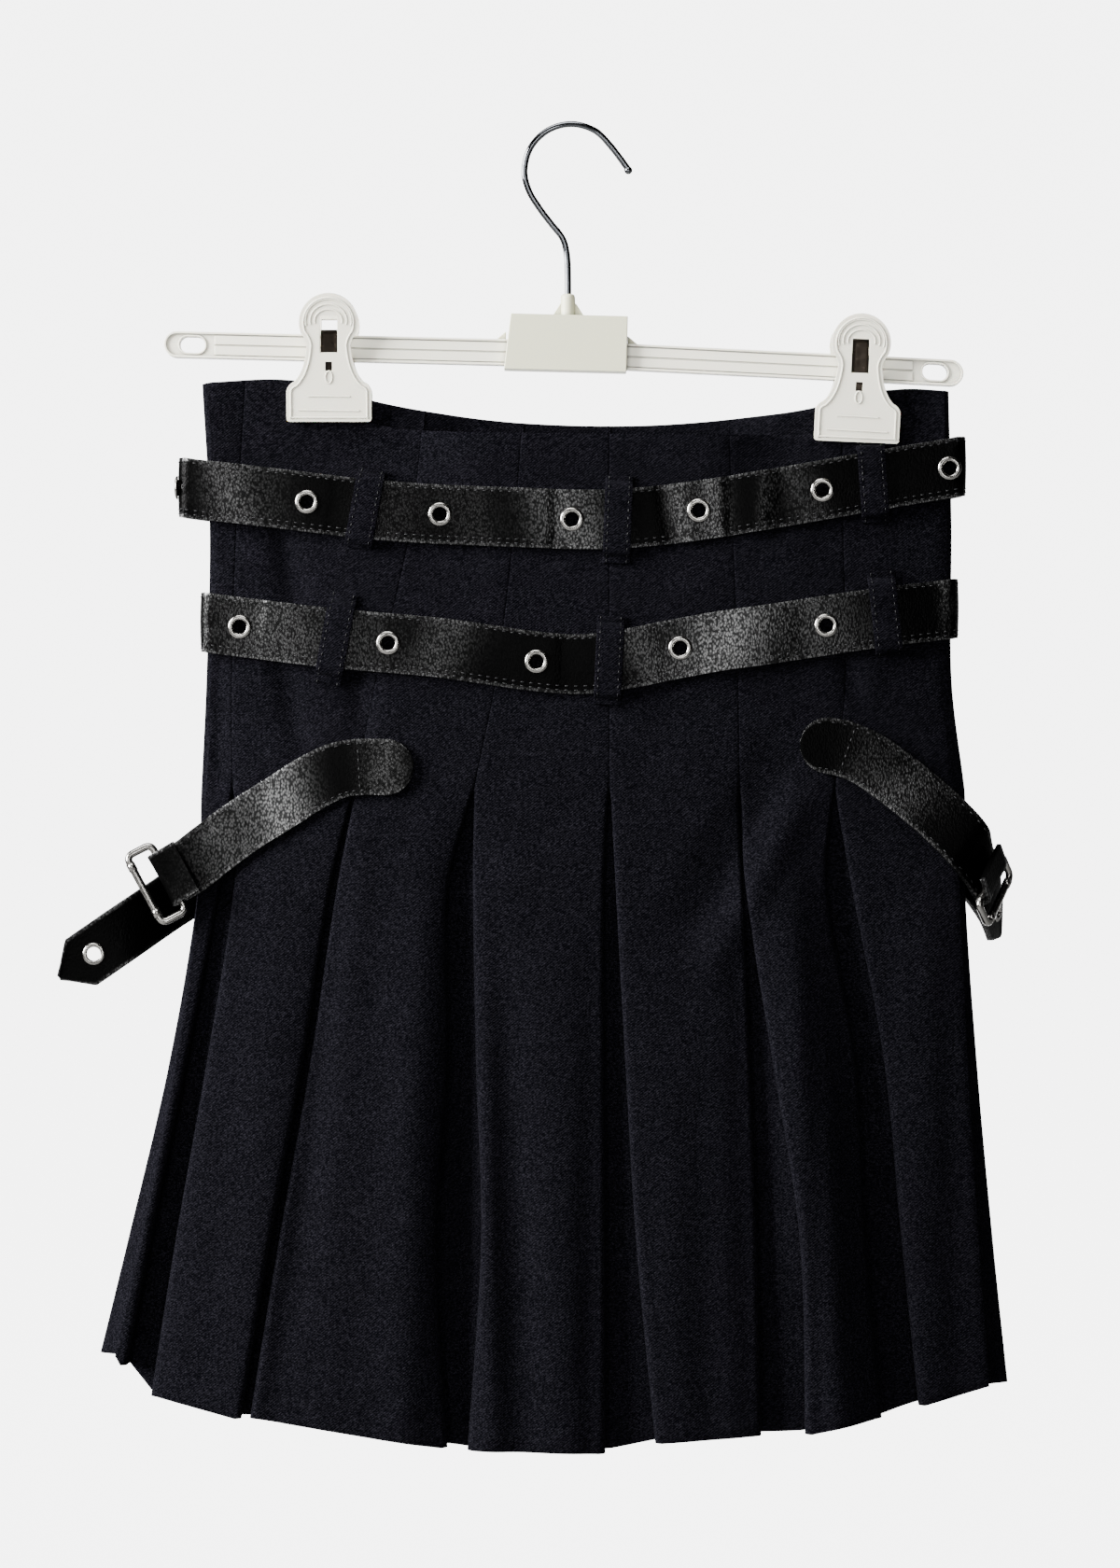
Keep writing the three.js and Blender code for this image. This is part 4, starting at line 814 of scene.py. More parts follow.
def belt_rows(belt):
    """From the folded end at the back buckle round the left, the front and the right to the tip."""
    left, right = belt_ends(belt)
    heel = BUCKLE_X - BUCKLE_BARS / 2
    tip = BUCKLE_X + BUCKLE_BARS / 2
    fold = WIRE / 2 + 0.7 + BELT_THICK / 2
    half = BELT_WIDTH / 2
    backwards = Vector((0, 1, 0))
    forwards = Vector((0, -1, 0))
    rows = []

    def add(point, face, width=half):
        rows.append((point, Vector(face).normalized(), width))

    def run(stops):
        for x, out, face in stops:
            add(ring_point(belt, x, BACK, out), face)

    run(
        (
            (heel - 22, -fold, forwards),
            (heel, -fold, forwards),
            (heel + fold * 0.75, -fold * 0.66, (0.7, -0.7, 0)),
            (heel + fold, 0, (1, 0, 0)),
            (heel + fold * 0.75, fold * 0.66, (0.7, 0.7, 0)),
            (heel, fold, backwards),
            (heel - 24, fold, backwards),
        )
    )
    for i in range(1, 7):
        add(ring_point(belt, lerp(heel - 46, left, i / 6), BACK), backwards)
    for end, sign, first in ((left, -1, math.pi / 2), (right, 1, -math.pi / 2)):
        for i in range(1, 5):
            angle = first + math.pi * i / 5
            face = Vector((math.cos(angle), math.sin(angle), 0))
            z = belt_z(belt, end + sign * ROUND_END)
            add(Vector((end + ROUND_END * face.x, ROUND_END * face.y, z)), face)
        if sign < 0:
            for i in range(17):
                add(ring_point(belt, lerp(left, right, i / 16), FRONT), forwards)
    for i in range(6):
        add(ring_point(belt, lerp(right, tip + 30, i / 5), BACK), backwards)
    over = fold + BELT_THICK + CLEARANCE
    run(
        (
            (tip + 8, -fold, backwards),
            (tip - 2, -fold, backwards),
            (BUCKLE_X + 3, over * 0.35, backwards),
            (heel + fold + 1, over + 0.6, backwards),
            (heel - 20, over + 0.2, backwards),
            (heel - 44, over, backwards),
        )
    )
    add(ring_point(belt, heel - 58, BACK, over - 1.6), backwards, 1.5)
    return rows


def belt_relief(number):
    """The belt's cup and its wrinkles, which die away at the eyelets."""
    belt = BELTS[number]
    waves = [wave for wave in WAVES if wave.belt == number]

    def relief(station, v):
        cup = -0.45 * v * v
        if station.face.y > -0.3:
            return cup
        x = station.at.x
        quiet = min(ease(abs(x - eyelet), *EYELET_QUIET) for eyelet in belt["eyelets"])
        return cup + quiet * sum(wave.height * swell(wave, x, v) for wave in waves)

    return relief


def punch(bm, spots, radius):
    """Round holes in a strip: the faces inside go, and the edge of the hole is drawn to a circle."""
    for spot, axis in spots:

        def away(co):
            offset = co - spot
            return (offset - axis * offset.dot(axis)).length, abs(offset.dot(axis))

        def near(co, reach):
            across, depth = away(co)
            return across < reach and depth < 4

        gone = [face for face in bm.faces if near(face.calc_center_median(), radius)]
        bmesh.ops.delete(bm, geom=gone, context="FACES")
        for vert in bm.verts:
            if near(vert.co, radius * 1.6) and any(edge.is_boundary for edge in vert.link_edges):
                offset = vert.co - spot
                flat = offset - axis * offset.dot(axis)
                if flat.length > 0:
                    vert.co += flat.normalized() * (radius - flat.length)


def belt_seat(belt, x):
    """Where an eyelet sits: the belt's middle, its direction and its outward face."""
    left = belt_ends(belt)[0]
    if x >= left:
        before = ring_point(belt, max(x - 2, left), FRONT)
        after = ring_point(belt, x + 2, FRONT)
        along = (after - before).normalized()
        face = (Vector((0, -1, 0)) + along * along.y).normalized()
        return ring_point(belt, x, FRONT), along, face
    angle = -math.pi / 2 - (left - x) / ROUND_END
    face = Vector((math.cos(angle), math.sin(angle), 0))
    at = Vector((left + ROUND_END * face.x, ROUND_END * face.y, belt_z(belt, belt["left"])))
    return at, Vector((-face.y, face.x, 0)), face


# Metal

EYELET_PROFILE = (
    (3.3, -2.3), (3.3, 0.55), (3.5, 0.95), (3.95, 1.2), (4.5, 1.25), (5.05, 1.1),
    (5.5, 0.75), (5.75, 0.3), (5.6, 0.12), (3.9, 0.12), (3.9, -2.3),
)
WASHER_PROFILE = (
    (3.3, -1.5), (3.3, -2.75), (3.55, -3.1), (4.1, -3.25), (4.7, -3.15),
    (5.2, -2.85), (5.35, -2.5), (5.2, -2.3), (3.9, -2.3), (3.9, -1.5),
)
ROUND_STEPS = 32


def lathe(bm, profile, matrix):
    """A closed profile of radius and height, spun about Z and put in its place."""
    before = set(bm.verts)
    verts = [bm.verts.new((radius, 0, height)) for radius, height in profile]
    edges = [bm.edges.new(pair) for pair in zip(verts, verts[1:] + verts[:1])]
    bmesh.ops.spin(
        bm,
        geom=verts + edges,
        cent=(0, 0, 0),
        axis=(0, 0, 1),
        dvec=(0, 0, 0),
        angle=2 * math.pi,
        steps=ROUND_STEPS,
        use_merge=True,
    )
    made = [vert for vert in bm.verts if vert not in before]
    bmesh.ops.recalc_face_normals(bm, faces=list({face for vert in made for face in vert.link_faces}))
    bmesh.ops.transform(bm, matrix=matrix, verts=made)


def wire(bm, points, radius, normal, sides=10, closed=False):
    """A round wire bent in a plane: a circle is drawn out from point to point."""
    normal = Vector(normal).normalized()
    frames = []
    count = len(points)
    for i, at in enumerate(points):
        after = points[(i + 1) % count] if closed else points[min(i + 1, count - 1)]
        before = points[i - 1] if closed else points[max(i - 1, 0)]
        along = (after - before).normalized()
        frames.append(basis(normal, along.cross(normal).normalized(), along, at))
    ring = bmesh.ops.create_circle(bm, cap_ends=False, radius=radius, segments=sides, matrix=frames[0])
    first = list({edge for vert in ring["verts"] for edge in vert.link_edges})
    edges = first
    for before, after in zip(frames, frames[1:]):
        made = bmesh.ops.extrude_edge_only(bm, edges=edges)["geom"]
        verts = {item for item in made if isinstance(item, bmesh.types.BMVert)}
        loop = {edge for vert in verts for edge in vert.link_edges}
        edges = [edge for edge in loop if set(edge.verts) <= verts]
        bmesh.ops.transform(bm, matrix=after @ before.inverted(), verts=list(verts))
    if closed:
        bmesh.ops.bridge_loops(bm, edges=first + edges)
    else:
        bmesh.ops.edgeloop_fill(bm, edges=first)
        bmesh.ops.edgeloop_fill(bm, edges=edges)
    bmesh.ops.recalc_face_normals(bm, faces=bm.faces)


def arc(centre_x, centre_z, radius_x, radius_z, start, end, count):
    """Points on part of an ellipse, with its angles in degrees."""
    points = []
    for i in range(count + 1):
        angle = math.radians(lerp(start, end, i / count))
        points.append((centre_x + radius_x * math.cos(angle), centre_z + radius_z * math.sin(angle)))
    return points


def bend(start, middle, end, count):
    """Points on a curve from start to end that is drawn towards middle, without its start."""
    points = []
    for i in range(1, count + 1):
        t = i / count
        shares = ((1 - t) ** 2, 2 * t * (1 - t), t * t)
        points.append(tuple(sum(w * p[k] for w, p in zip(shares, (start, middle, end))) for k in (0, 1)))
    return points


def frame_points(bars, length, corner):
    """A rounded rectangle in X and Z."""
    half_x = bars / 2 - corner
    half_z = length / 2 - corner
    loop = []
    for i, (right, up) in enumerate(((1, 1), (-1, 1), (-1, -1), (1, -1))):
        loop += arc(right * half_x, up * half_z, corner, corner, 90 * i, 90 * i + 90, 5)
    return [Vector((x, 0, z)) for x, z in loop]


def plate(bm, outlines, depth):
    """A flat piece from y = -depth / 2 to depth / 2: the first outline less the others."""
    before = set(bm.verts)
    edges = []
    for outline in outlines:
        verts = [bm.verts.new((x, -depth / 2, z)) for x, z in outline]
        edges += [bm.edges.new(pair) for pair in zip(verts, verts[1:] + verts[:1])]
    filled = bmesh.ops.triangle_fill(bm, use_beauty=True, use_dissolve=False, edges=edges)["geom"]
    faces = [item for item in filled if isinstance(item, bmesh.types.BMFace)]
    made = bmesh.ops.extrude_face_region(bm, geom=faces)["geom"]
    moved = [item for item in made if isinstance(item, bmesh.types.BMVert)]
    bmesh.ops.translate(bm, vec=(0, depth, 0), verts=moved)
    new = [vert for vert in bm.verts if vert not in before]
    bmesh.ops.recalc_face_normals(bm, faces=list({face for vert in new for face in vert.link_faces}))
    return new


def inset_outline(outline, depth):
    """The outline moved inwards by a distance, for an outline that runs anticlockwise."""
    count = len(outline)
    moved = []
    for i, (x, z) in enumerate(outline):
        (x0, z0), (x1, z1) = outline[i - 1], outline[(i + 1) % count]
        length = math.hypot(x1 - x0, z1 - z0) or 1
        moved.append((x - depth * (z1 - z0) / length, z + depth * (x1 - x0) / length))
    return moved


# Materials


def linear(colour):
    """An sRGB hex colour as linear red, green, blue and alpha."""
    values = [int(colour[i : i + 2], 16) / 255 for i in (1, 3, 5)]
    return [v / 12.92 if v <= 0.04045 else ((v + 0.055) / 1.055) ** 2.4 for v in values] + [1.0]


class Nodes:
    """A node tree, with a short call for each kind of node that the looks share."""

    def __init__(self, tree):
        self.tree = tree

    def add(self, kind, inputs=None, **settings):
        """A node whose inputs are values, or sockets that feed them."""
        node = self.tree.nodes.new("ShaderNode" + kind)
        for name, value in settings.items():
            setattr(node, name, value)
        for name, value in (inputs or {}).items():
            self.put(node.inputs[name], value)
        return node

    def put(self, socket, value):
        if isinstance(value, bpy.types.NodeSocket):
            self.tree.links.new(value, socket)
        else:
            socket.default_value = value

    def place(self, space="Object"):
        return self.add("TexCoord").outputs[space]

    def turned(self, vector, degrees, scale=(1, 1, 1)):
        turn = (0, math.radians(degrees), 0)
        return self.add("Mapping", {"Vector": vector, "Rotation": turn, "Scale": scale}).outputs[0]

    def noise(self, vector, size, detail, roughness=0.5):
        """Noise with grains of a size in millimetres."""
        inputs = {"Vector": vector, "Scale": 1 / (size * MM), "Detail": detail, "Roughness": roughness}
        return self.add("TexNoise", inputs).outputs["Fac"]

    def spread(self, value, start, end, low, high, **settings):
        """From low to high while the value goes from start to end."""
        inputs = {"Value": value, "From Min": start, "From Max": end, "To Min": low, "To Max": high}
        return self.add("MapRange", inputs, **settings).outputs[0]

    def combine(self, operation, first, second):
        return self.add("Math", {0: first, 1: second}, operation=operation).outputs[0]

    def vector(self, operation, inputs):
        return self.add("VectorMath", inputs, operation=operation).outputs

    def bump(self, height, strength, depth, over=None, **settings):
        """A bump of a depth in millimetres, over another one if there is one."""
        inputs = {"Height": height, "Strength": strength, "Distance": depth * MM}
        if over is not None:
            inputs["Normal"] = over
        return self.add("Bump", inputs, **settings).outputs[0]

    def shade(self, inputs):
        shader = self.add("BsdfPrincipled", inputs)
        self.add("OutputMaterial", {"Surface": shader.outputs[0]})


def new_material(name):
    material = bpy.data.materials.new(name)
    material.use_nodes = True
    material.node_tree.nodes.clear()
    return material, Nodes(material.node_tree)


def twill_material(name, look):
    """Wool-blend twill, woven of near-black yarn with pale fibres: matt, with a heathered grain."""
    material, nodes = new_material(name)
    place = nodes.place()
    # Yarn flecks are 0.7 mm across and a little longer along the weft.
    flecks = nodes.noise(nodes.turned(place, 3, (0.6, 1, 1)), 0.68, 2, 0.75)
    ramp = nodes.add("ValToRGB", {"Fac": flecks})
    dark, pale = ramp.color_ramp.elements
    dark.position = 0.44
    dark.color = linear(look.yarn)
    pale.position = 0.72
    pale.color = linear(look.fleck)
    mottle = nodes.spread(nodes.noise(place, 14, 3, 0.6), 0.3, 0.7, 0.88, 1.12)
    # The twill's diagonal ribs, 0.7 mm apart in the real cloth and drawn at 1 mm.
    ribs = nodes.add(
        "TexWave",
        {"Vector": nodes.turned(place, -52), "Scale": 2 / (math.tau * MM), "Distortion": 0.6, "Detail": 1},
        wave_type="BANDS",
        bands_direction="X",
    ).outputs["Fac"]
    nodes.shade(
        {
            "Base Color": nodes.vector("SCALE", {0: ramp.outputs["Color"], "Scale": mottle})[0],
            "Roughness": 0.95,
            "Specular IOR Level": 0.02,
            "Sheen Weight": 0.004,
            "Sheen Roughness": 0.45,
            "Sheen Tint": linear("#9fa3b4"),
            "Normal": nodes.bump(nodes.combine("ADD", ribs, flecks), 0.45, 0.25),
        }
    )
    return material


def leather_material(name, look):
    """Chrome-tanned cow leather, pressed with a pebble grain and finished black: a soft broken gloss."""
    material, nodes = new_material(name)
    place = nodes.place()
    # Pebbles of the grain are about 0.9 mm across and longer across the strip.
    grain = {"Vector": nodes.turned(place, 0, (1, 1, 0.6)), "Scale": 1 / (0.9 * MM), "Randomness": 1}
    pebbles = nodes.add("TexVoronoi", grain, feature="F1").outputs["Distance"]
    wear = nodes.noise(place, 9, 4, 0.6)
    # Burnished spots take a gloss that the rest of the grain doesn't have.
    worn = nodes.add("Attribute", attribute_name="shine").outputs["Fac"]
    crown = nodes.spread(pebbles, 0.15, 0.65, 2.1, 0.2)
    cloudy = nodes.spread(wear, 0.3, 0.7, 0.75, 1.25)
    shine = nodes.combine("MULTIPLY", worn, nodes.combine("MULTIPLY", cloudy, crown))
    nodes.shade(
        {
            "Base Color": linear(look.leather),
            "Roughness": nodes.spread(wear, 0.3, 0.7, 0.26, 0.4),
            "Specular IOR Level": nodes.combine("ADD", shine, 0.015),
            "Normal": nodes.bump(pebbles, 0.5, 0.25, nodes.bump(wear, 0.3, 0.9), invert=True),
        }
    )
    return material


def metal_material(name, colour, roughness):
    """Plated metal with the faint unevenness of a polished stamping."""
    material, nodes = new_material(name)
    marks = nodes.noise(nodes.place(), 2.5, 3)
    gloss = nodes.spread(marks, 0.3, 0.7, roughness * 0.75, roughness * 1.3)
    nodes.shade({"Base Color": linear(colour), "Metallic": 1, "Roughness": gloss})
    return material


def plastic_material(name, colour, roughness, grain):
    """Moulded polystyrene: smooth and slightly translucent, with a trace of mould texture."""
    material, nodes = new_material(name)
    # Painted shade: ambient occlusion within 2.5 mm darkens the base colour in the corners and grooves of
    # the moulding.
    corner = nodes.add("AmbientOcclusion", {"Distance": 2.5 * MM}, samples=8).outputs["AO"]
    painted_corner_shade = nodes.spread(corner, 0.35, 0.95, 0.3, 1)
    nodes.shade(
        {
            "Base Color": nodes.vector("SCALE", {0: linear(colour)[:3], "Scale": painted_corner_shade})[0],
            "Roughness": roughness,
            "IOR": 1.59,
            "Subsurface Weight": 0.03,
            "Subsurface Scale": MM,
            "Normal": nodes.bump(nodes.noise(nodes.place(), 1.5, 3), grain, 0.1),
        }
    )
    return material


def thread_material(name, look):
    """Bonded polyester sewing thread: black, with a slight sheen along each stitch."""
    material, nodes = new_material(name)
    nodes.shade({"Base Color": linear(look.thread), "Roughness": 0.5, "Specular IOR Level": 0.3})
    return material


FINISHES = {
    "twill": ("woven_wool_twill", lambda name, scene: twill_material(name, scene.skirt_cloth)),
    "leather": ("pebbled_black_leather", lambda name, scene: leather_material(name, scene.skirt_leather)),
    "thread": ("sewing_thread", lambda name, scene: thread_material(name, scene.skirt_leather)),
    "nickel": (
        "nickel_plated_brass",
        lambda name, scene: metal_material(name, scene.skirt_metal.nickel, 0.22),
    ),
    "chrome": (
        "chrome_plated_wire",
        lambda name, scene: metal_material(name, scene.skirt_metal.chrome, 0.1),
    ),
    "spring": (
        "blued_spring_steel",
        lambda name, scene: metal_material(name, scene.skirt_metal.spring, 0.32),
    ),
    "plastic": (
        "moulded_ivory_polystyrene",
        lambda name, scene: plastic_material(name, scene.skirt_hanger.ivory, 0.34, 0.08),
    ),
    "block": (
        "moulded_cream_polystyrene",
        lambda name, scene: plastic_material(name, scene.skirt_hanger.cream, 0.5, 0.2),
    ),
}


def finish(kind):
    """The material of a kind, made once."""
    name, make = FINISHES[kind]
    return bpy.data.materials.get(name) or make(name, bpy.context.scene)


# Pieces


def make_gore(node, columns):
    points = gore_points(columns)
    full = [entry.full for entry in columns]

    def keep(r, c):
        return r >= UPPER_ROWS or (full[c] and full[c + 1])

    bm = bmesh.new()
    sheet_grid(bm, points, keep)
    obj = finish_piece(f"{node}_cloth", bm, "twill", [node], CLOTH, 0.35)
    width, length, area = sheet_sizes(points, keep)
    min(area, width * length)


def make_belt(number):
    belt = BELTS[number]
    stations = strip_stations(belt_rows(belt), 2.0)
    relief = belt_relief(number)
    points = strip_points(stations, BELT_CROSS, relief)
    bm = bmesh.new()
    sheet_grid(bm, points, None, shine_on(belt["name"], stations, BELT_CROSS))
    seats = [belt_seat(belt, x) for x in belt["eyelets"]]
    punch(bm, [(at, face) for at, along, face in seats], PUNCHED)
    node = f"belt_{belt['name']}"
    obj = finish_piece(f"{node}_leather", bm, "leather", [node], BELT_THICK, 0.55, segments=3)
    width, length, area = sheet_sizes(points)
    seams = bmesh.new()
    for v in (-0.86, 0.88, 0.74):
        stitches(seams, stations, v, BELT_THICK, relief)
    thread = finish_piece(f"{node}_stitches", seams, "thread", [], slot="leather")
    min(area, width * length)


def make_belt_eyelets(number):
    belt = BELTS[number]
    bm = bmesh.new()
    for x in belt["eyelets"]:
        at, along, face = belt_seat(belt, x)
        lathe(bm, EYELET_PROFILE, basis(along, face.cross(along), face, at + face * BELT_THICK / 2))
    name = belt["name"]
    nodes = [f"eyelet_{name}_{i + 1}" for i in range(len(belt["eyelets"]))]
    finish_piece(f"eyelets_{name}", bm, "nickel", nodes)


def prong_points(belt):
    heel = BUCKLE_X - BUCKLE_BARS / 2
    tip = BUCKLE_X + BUCKLE_BARS / 2
    rest = WIRE + CLEARANCE
    stops = ((heel + rest, 0), (heel + 6.5, 1.2), (BUCKLE_X, rest), (tip - 2, rest), (tip + 2.5, rest))
    rows = [(ring_point(belt, x, BACK, out), Vector((0, 1, 0)), 1) for x, out in stops]
    return [station.at for station in strip_stations(rows, 2)]


def make_belt_buckle(number):
    belt = BELTS[number]
    left = ring_point(belt, BUCKLE_X - BUCKLE_BARS / 2, BACK)
    right = ring_point(belt, BUCKLE_X + BUCKLE_BARS / 2, BACK)
    along = (right - left).normalized()
    face = (Vector((0, 1, 0)) - along * along.y).normalized()
    matrix = basis(along, face, along.cross(face), (left + right) / 2)
    bm = bmesh.new()
    loop = [matrix @ point for point in frame_points(BUCKLE_BARS, BUCKLE_LENGTH, 4)]
    wire(bm, loop, WIRE / 2, face, 12, True)
    finish_piece(f"back_buckle_{belt['name']}", bm, "nickel", [f"belt_buckle_{belt['name']}"])
    bm = bmesh.new()
    wire(bm, prong_points(belt), WIRE / 2, along.cross(face), 10)
    finish_piece(f"back_prong_{belt['name']}", bm, "nickel", [f"belt_prong_{belt['name']}"])


def loop_rows(loop, side):
    belt = BELTS[loop.belt]
    (top_x, top_z), (bottom_x, bottom_z) = loop.top, loop.bottom
    middle = belt_z(belt, (top_x + bottom_x) / 2)
    over_top = middle + BELT_WIDTH / 2 + LOOP_MARGIN
    over_bottom = middle - BELT_WIDTH / 2 - LOOP_MARGIN
    levels = (
        (top_z, False),
        (lerp(top_z, over_top, 0.6), False),
        (over_top, True),
        (middle, True),
        (over_bottom, True),
        (lerp(bottom_z, over_bottom, 0.6), False),
        (bottom_z, False),
    )

    def on_belt(x, z):
        return belt_depth(belt, x, side) + BELT_THICK / 2

    lean = (bottom_x - top_x) / (top_z - bottom_z)
    rows = []
    for z, over in levels:
        x = lerp(top_x, bottom_x, (top_z - z) / (top_z - bottom_z))
        reach = (LOOP_WIDTH / 2 + 1, 1) if over else (10, 9)
        depth, slope, _ = seat_on(on_belt if over else cloth_face, x, z, *reach)
        rows.append((Vector((x, side * (depth + CLEARANCE + LOOP_THICK / 2), z)), slope))
    across = Vector((1, side * rows[3][1], lean)).normalized()
    stations = []
    for i, (at, _) in enumerate(rows):
        before, after = around(rows, i)
        face = (after[0] - before[0]).cross(across).normalized()
        stations.append((at, face, LOOP_WIDTH / 2))
    return stations


def make_loop(loop, side):
    where = "front" if side == FRONT else "back"
    node = f"loop_{where}_{loop.name}"
    stations = strip_stations(loop_rows(loop, side), 0.9)
    relief = cupped(0.25)
    points = strip_points(stations, LOOP_CROSS, relief)
    bm = bmesh.new()
    sheet_grid(bm, points)
    obj = finish_piece(f"{node}_cloth", bm, "twill", [node], LOOP_THICK, 0.45)
    seams = bmesh.new()
    for v in (0.74, -0.74):
        stitches(seams, stations, v, LOOP_THICK, relief, 2, 2.9, 0.22)
    thread = finish_piece(f"{node}_stitches", seams, "thread", [], slot="twill")
    width, length, area = sheet_sizes(points)
    min(area, width * length)


def strap_rows(strap):
    side = strap["side"]
    half = STRAP_WIDTH / 2
    rows = []

    def add(x, z, y, turn, width):
        if y is None:
            depth, slope_x, slope_z = seat_on(cloth_face, x, z, half, half)
            y = side * (depth + CLEARANCE + STRAP_LIFT + STRAP_THICK / 2)
            face = Vector((-slope_x, side, -slope_z)).normalized()
        else:
            angle = math.radians(turn)
            face = Vector((math.sin(angle), side * math.cos(angle), 0))
        rows.append((Vector((x, y, z)), face, width))

    tab_x, tab_z = strap["tab"]
    toward = math.copysign(1, strap["path"][0][0] - tab_x)
    for i in range(12):
        share = 1 - math.cos((i + 1) / 12 * math.pi / 2)
        width = half * math.sqrt(1 - (1 - share) ** 2)
        add(tab_x + toward * half * share, tab_z, None, 0, width)
    for row in strap["path"]:
        x, z, y, turn = row if len(row) == 4 else (*row, None, 0)
        add(x, z, y, turn, half)
    return rows


def heel_rows(last):
    """The strap's end goes round the buckle's heel bar and lies back on the strap."""
    rows = []
    for i in range(1, 12):
        angle = math.pi * i / 12
        at = last.at + last.face * (HEEL_RADIUS * (1 - math.cos(angle)))
        at += last.along * (HEEL_RADIUS * math.sin(angle))
        rows.append((at, last.face * math.cos(angle) - last.along * math.sin(angle), last.half))
    top = last.at + last.face * (2 * HEEL_RADIUS)
    rows += [(top - last.along * (HEEL_FOLD * share), -last.face, last.half) for share in (0, 0.5, 1)]
    return rows


def strap_last(rows):
    along = (rows[-1][0] - rows[-2][0]).normalized()
    face = rows[-1][1]
    face = (face - along * face.dot(along)).normalized()
    return Station(rows[-1][0], along, along.cross(face).normalized(), face, rows[-1][2])


def tab_line(stations, strap):
    """Stations of the stitch line that closes the tab, running across the strap."""
    cross_x = strap["path"][0][0]
    here = min(stations, key=lambda s: abs(s.at.x - cross_x))
    line = []
    for i in range(25):
        share = 1 - 2 * i / 24
        at = here.at + here.across * (here.half * 0.92 * share)
        line.append(Station(at, -here.across, here.along, here.face, here.half))
    return line


def make_strap(strap):
    rows = strap_rows(strap)
    last = strap_last(rows)
    pointed = "eyelet" in strap
    laid = strip_stations(rows, 1.6)
    if pointed:
        rows.append((last.at + last.along * STRAP_POINT, rows[-1][1], 1))
    else:
        rows += heel_rows(last)
    stations = strip_stations(rows, 1.6)
    relief = cupped(0.35)
    points = strip_points(stations, STRAP_CROSS, relief)
    bm = bmesh.new()
    sheet_grid(bm, points, None, shine_on(strap["name"], stations, STRAP_CROSS))
    node = f"strap_{strap['name']}"
    if pointed:
        at, matrix = tip_eyelet(strap, last)
        punch(bm, [(at, last.face)], PUNCHED)
    obj = finish_piece(f"{node}_leather", bm, "leather", [node], STRAP_THICK, 0.5, segments=3)
    if pointed:
        ring = bmesh.new()
        for profile in (EYELET_PROFILE, WASHER_PROFILE):
            lathe(ring, profile, matrix)
        eyelet = f"eyelet_{strap['name']}"
        finish_piece(f"{eyelet}_ring", ring, "nickel", [eyelet])
    seams = bmesh.new()
    inner = [station for station in laid if station.half > STRAP_WIDTH * 0.4]
    for v in (0.84, -0.84):
        stitches(seams, inner, v, STRAP_THICK, relief, skip=2)
    stitches(seams, tab_line(stations, strap), 0, STRAP_THICK, cupped(0), skip=1)
    thread = finish_piece(f"{node}_stitches", seams, "thread", [], slot="leather")
    width, length, area = sheet_sizes(points)
    min(area, width * length)


def tip_eyelet(strap, last):
    """The middle of the tip's hole on the strap, and the frame of its eyelet."""
    x, z = strap["eyelet"]
    centre = Vector((x, last.at.y, z))
    centre -= last.face * (centre - last.at).dot(last.face)
    matrix = basis(last.along, last.face.cross(last.along), last.face, centre + last.face * STRAP_THICK / 2)
    return centre, matrix


def make_hip_buckle(strap, name):
    last = strap_last(strap_rows(strap))
    along = last.along.copy()
    along.rotate(Matrix.Rotation(math.radians(HIP_LIFT[name]), 3, last.across))
    face = last.across.cross(along).normalized()
    centre = last.at + last.face * HEEL_RADIUS + along * (HIP_BARS / 2)
    matrix = basis(along, -face, -last.across, centre)
    bm = bmesh.new()
    loop = [matrix @ point for point in frame_points(HIP_BARS, HIP_LENGTH, HIP_CORNER)]
    wire(bm, loop, HIP_WIRE / 2, face, 14, True)
    # A sleeve on each end of the outer bar, where the frame's wire was closed.
    for end in (-1, 1):
        spots = [Vector((HIP_BARS / 2, 0, end * (HIP_LENGTH / 2 - z))) for z in (7.5, 3.6)]
        wire(bm, [matrix @ spot for spot in spots], HIP_WIRE / 2 + 0.3, face, 14)
    finish_piece(f"hip_buckle_{name}_frame", bm, "nickel", [f"hip_buckle_{name}"])


# Hanger


def bar_z(x):
    if x < BAR_X[1]:
        return lerp(BAR_Z[0], BAR_Z[1], (x - BAR_X[0]) / (BAR_X[1] - BAR_X[0]))
    return lerp(BAR_Z[1], BAR_Z[2], (x - BAR_X[1]) / (BAR_X[2] - BAR_X[1]))


def slot_outline(start, end, height):
    """A bar with round ends, drawn anticlockwise round z = 0."""
    radius = height / 2
    middle = BAR_X[1]
    loop = [(middle, -radius)] if start < middle < end else []
    loop += arc(end - radius, 0, radius, radius, -90, 90, 14)
    loop += [(middle, radius)] if start < middle < end else []
    loop += arc(start + radius, 0, radius, radius, 90, 270, 14)
    return loop


def bow_bar(bm):
    for vert in bm.verts:
        vert.co.z += bar_z(vert.co.x)


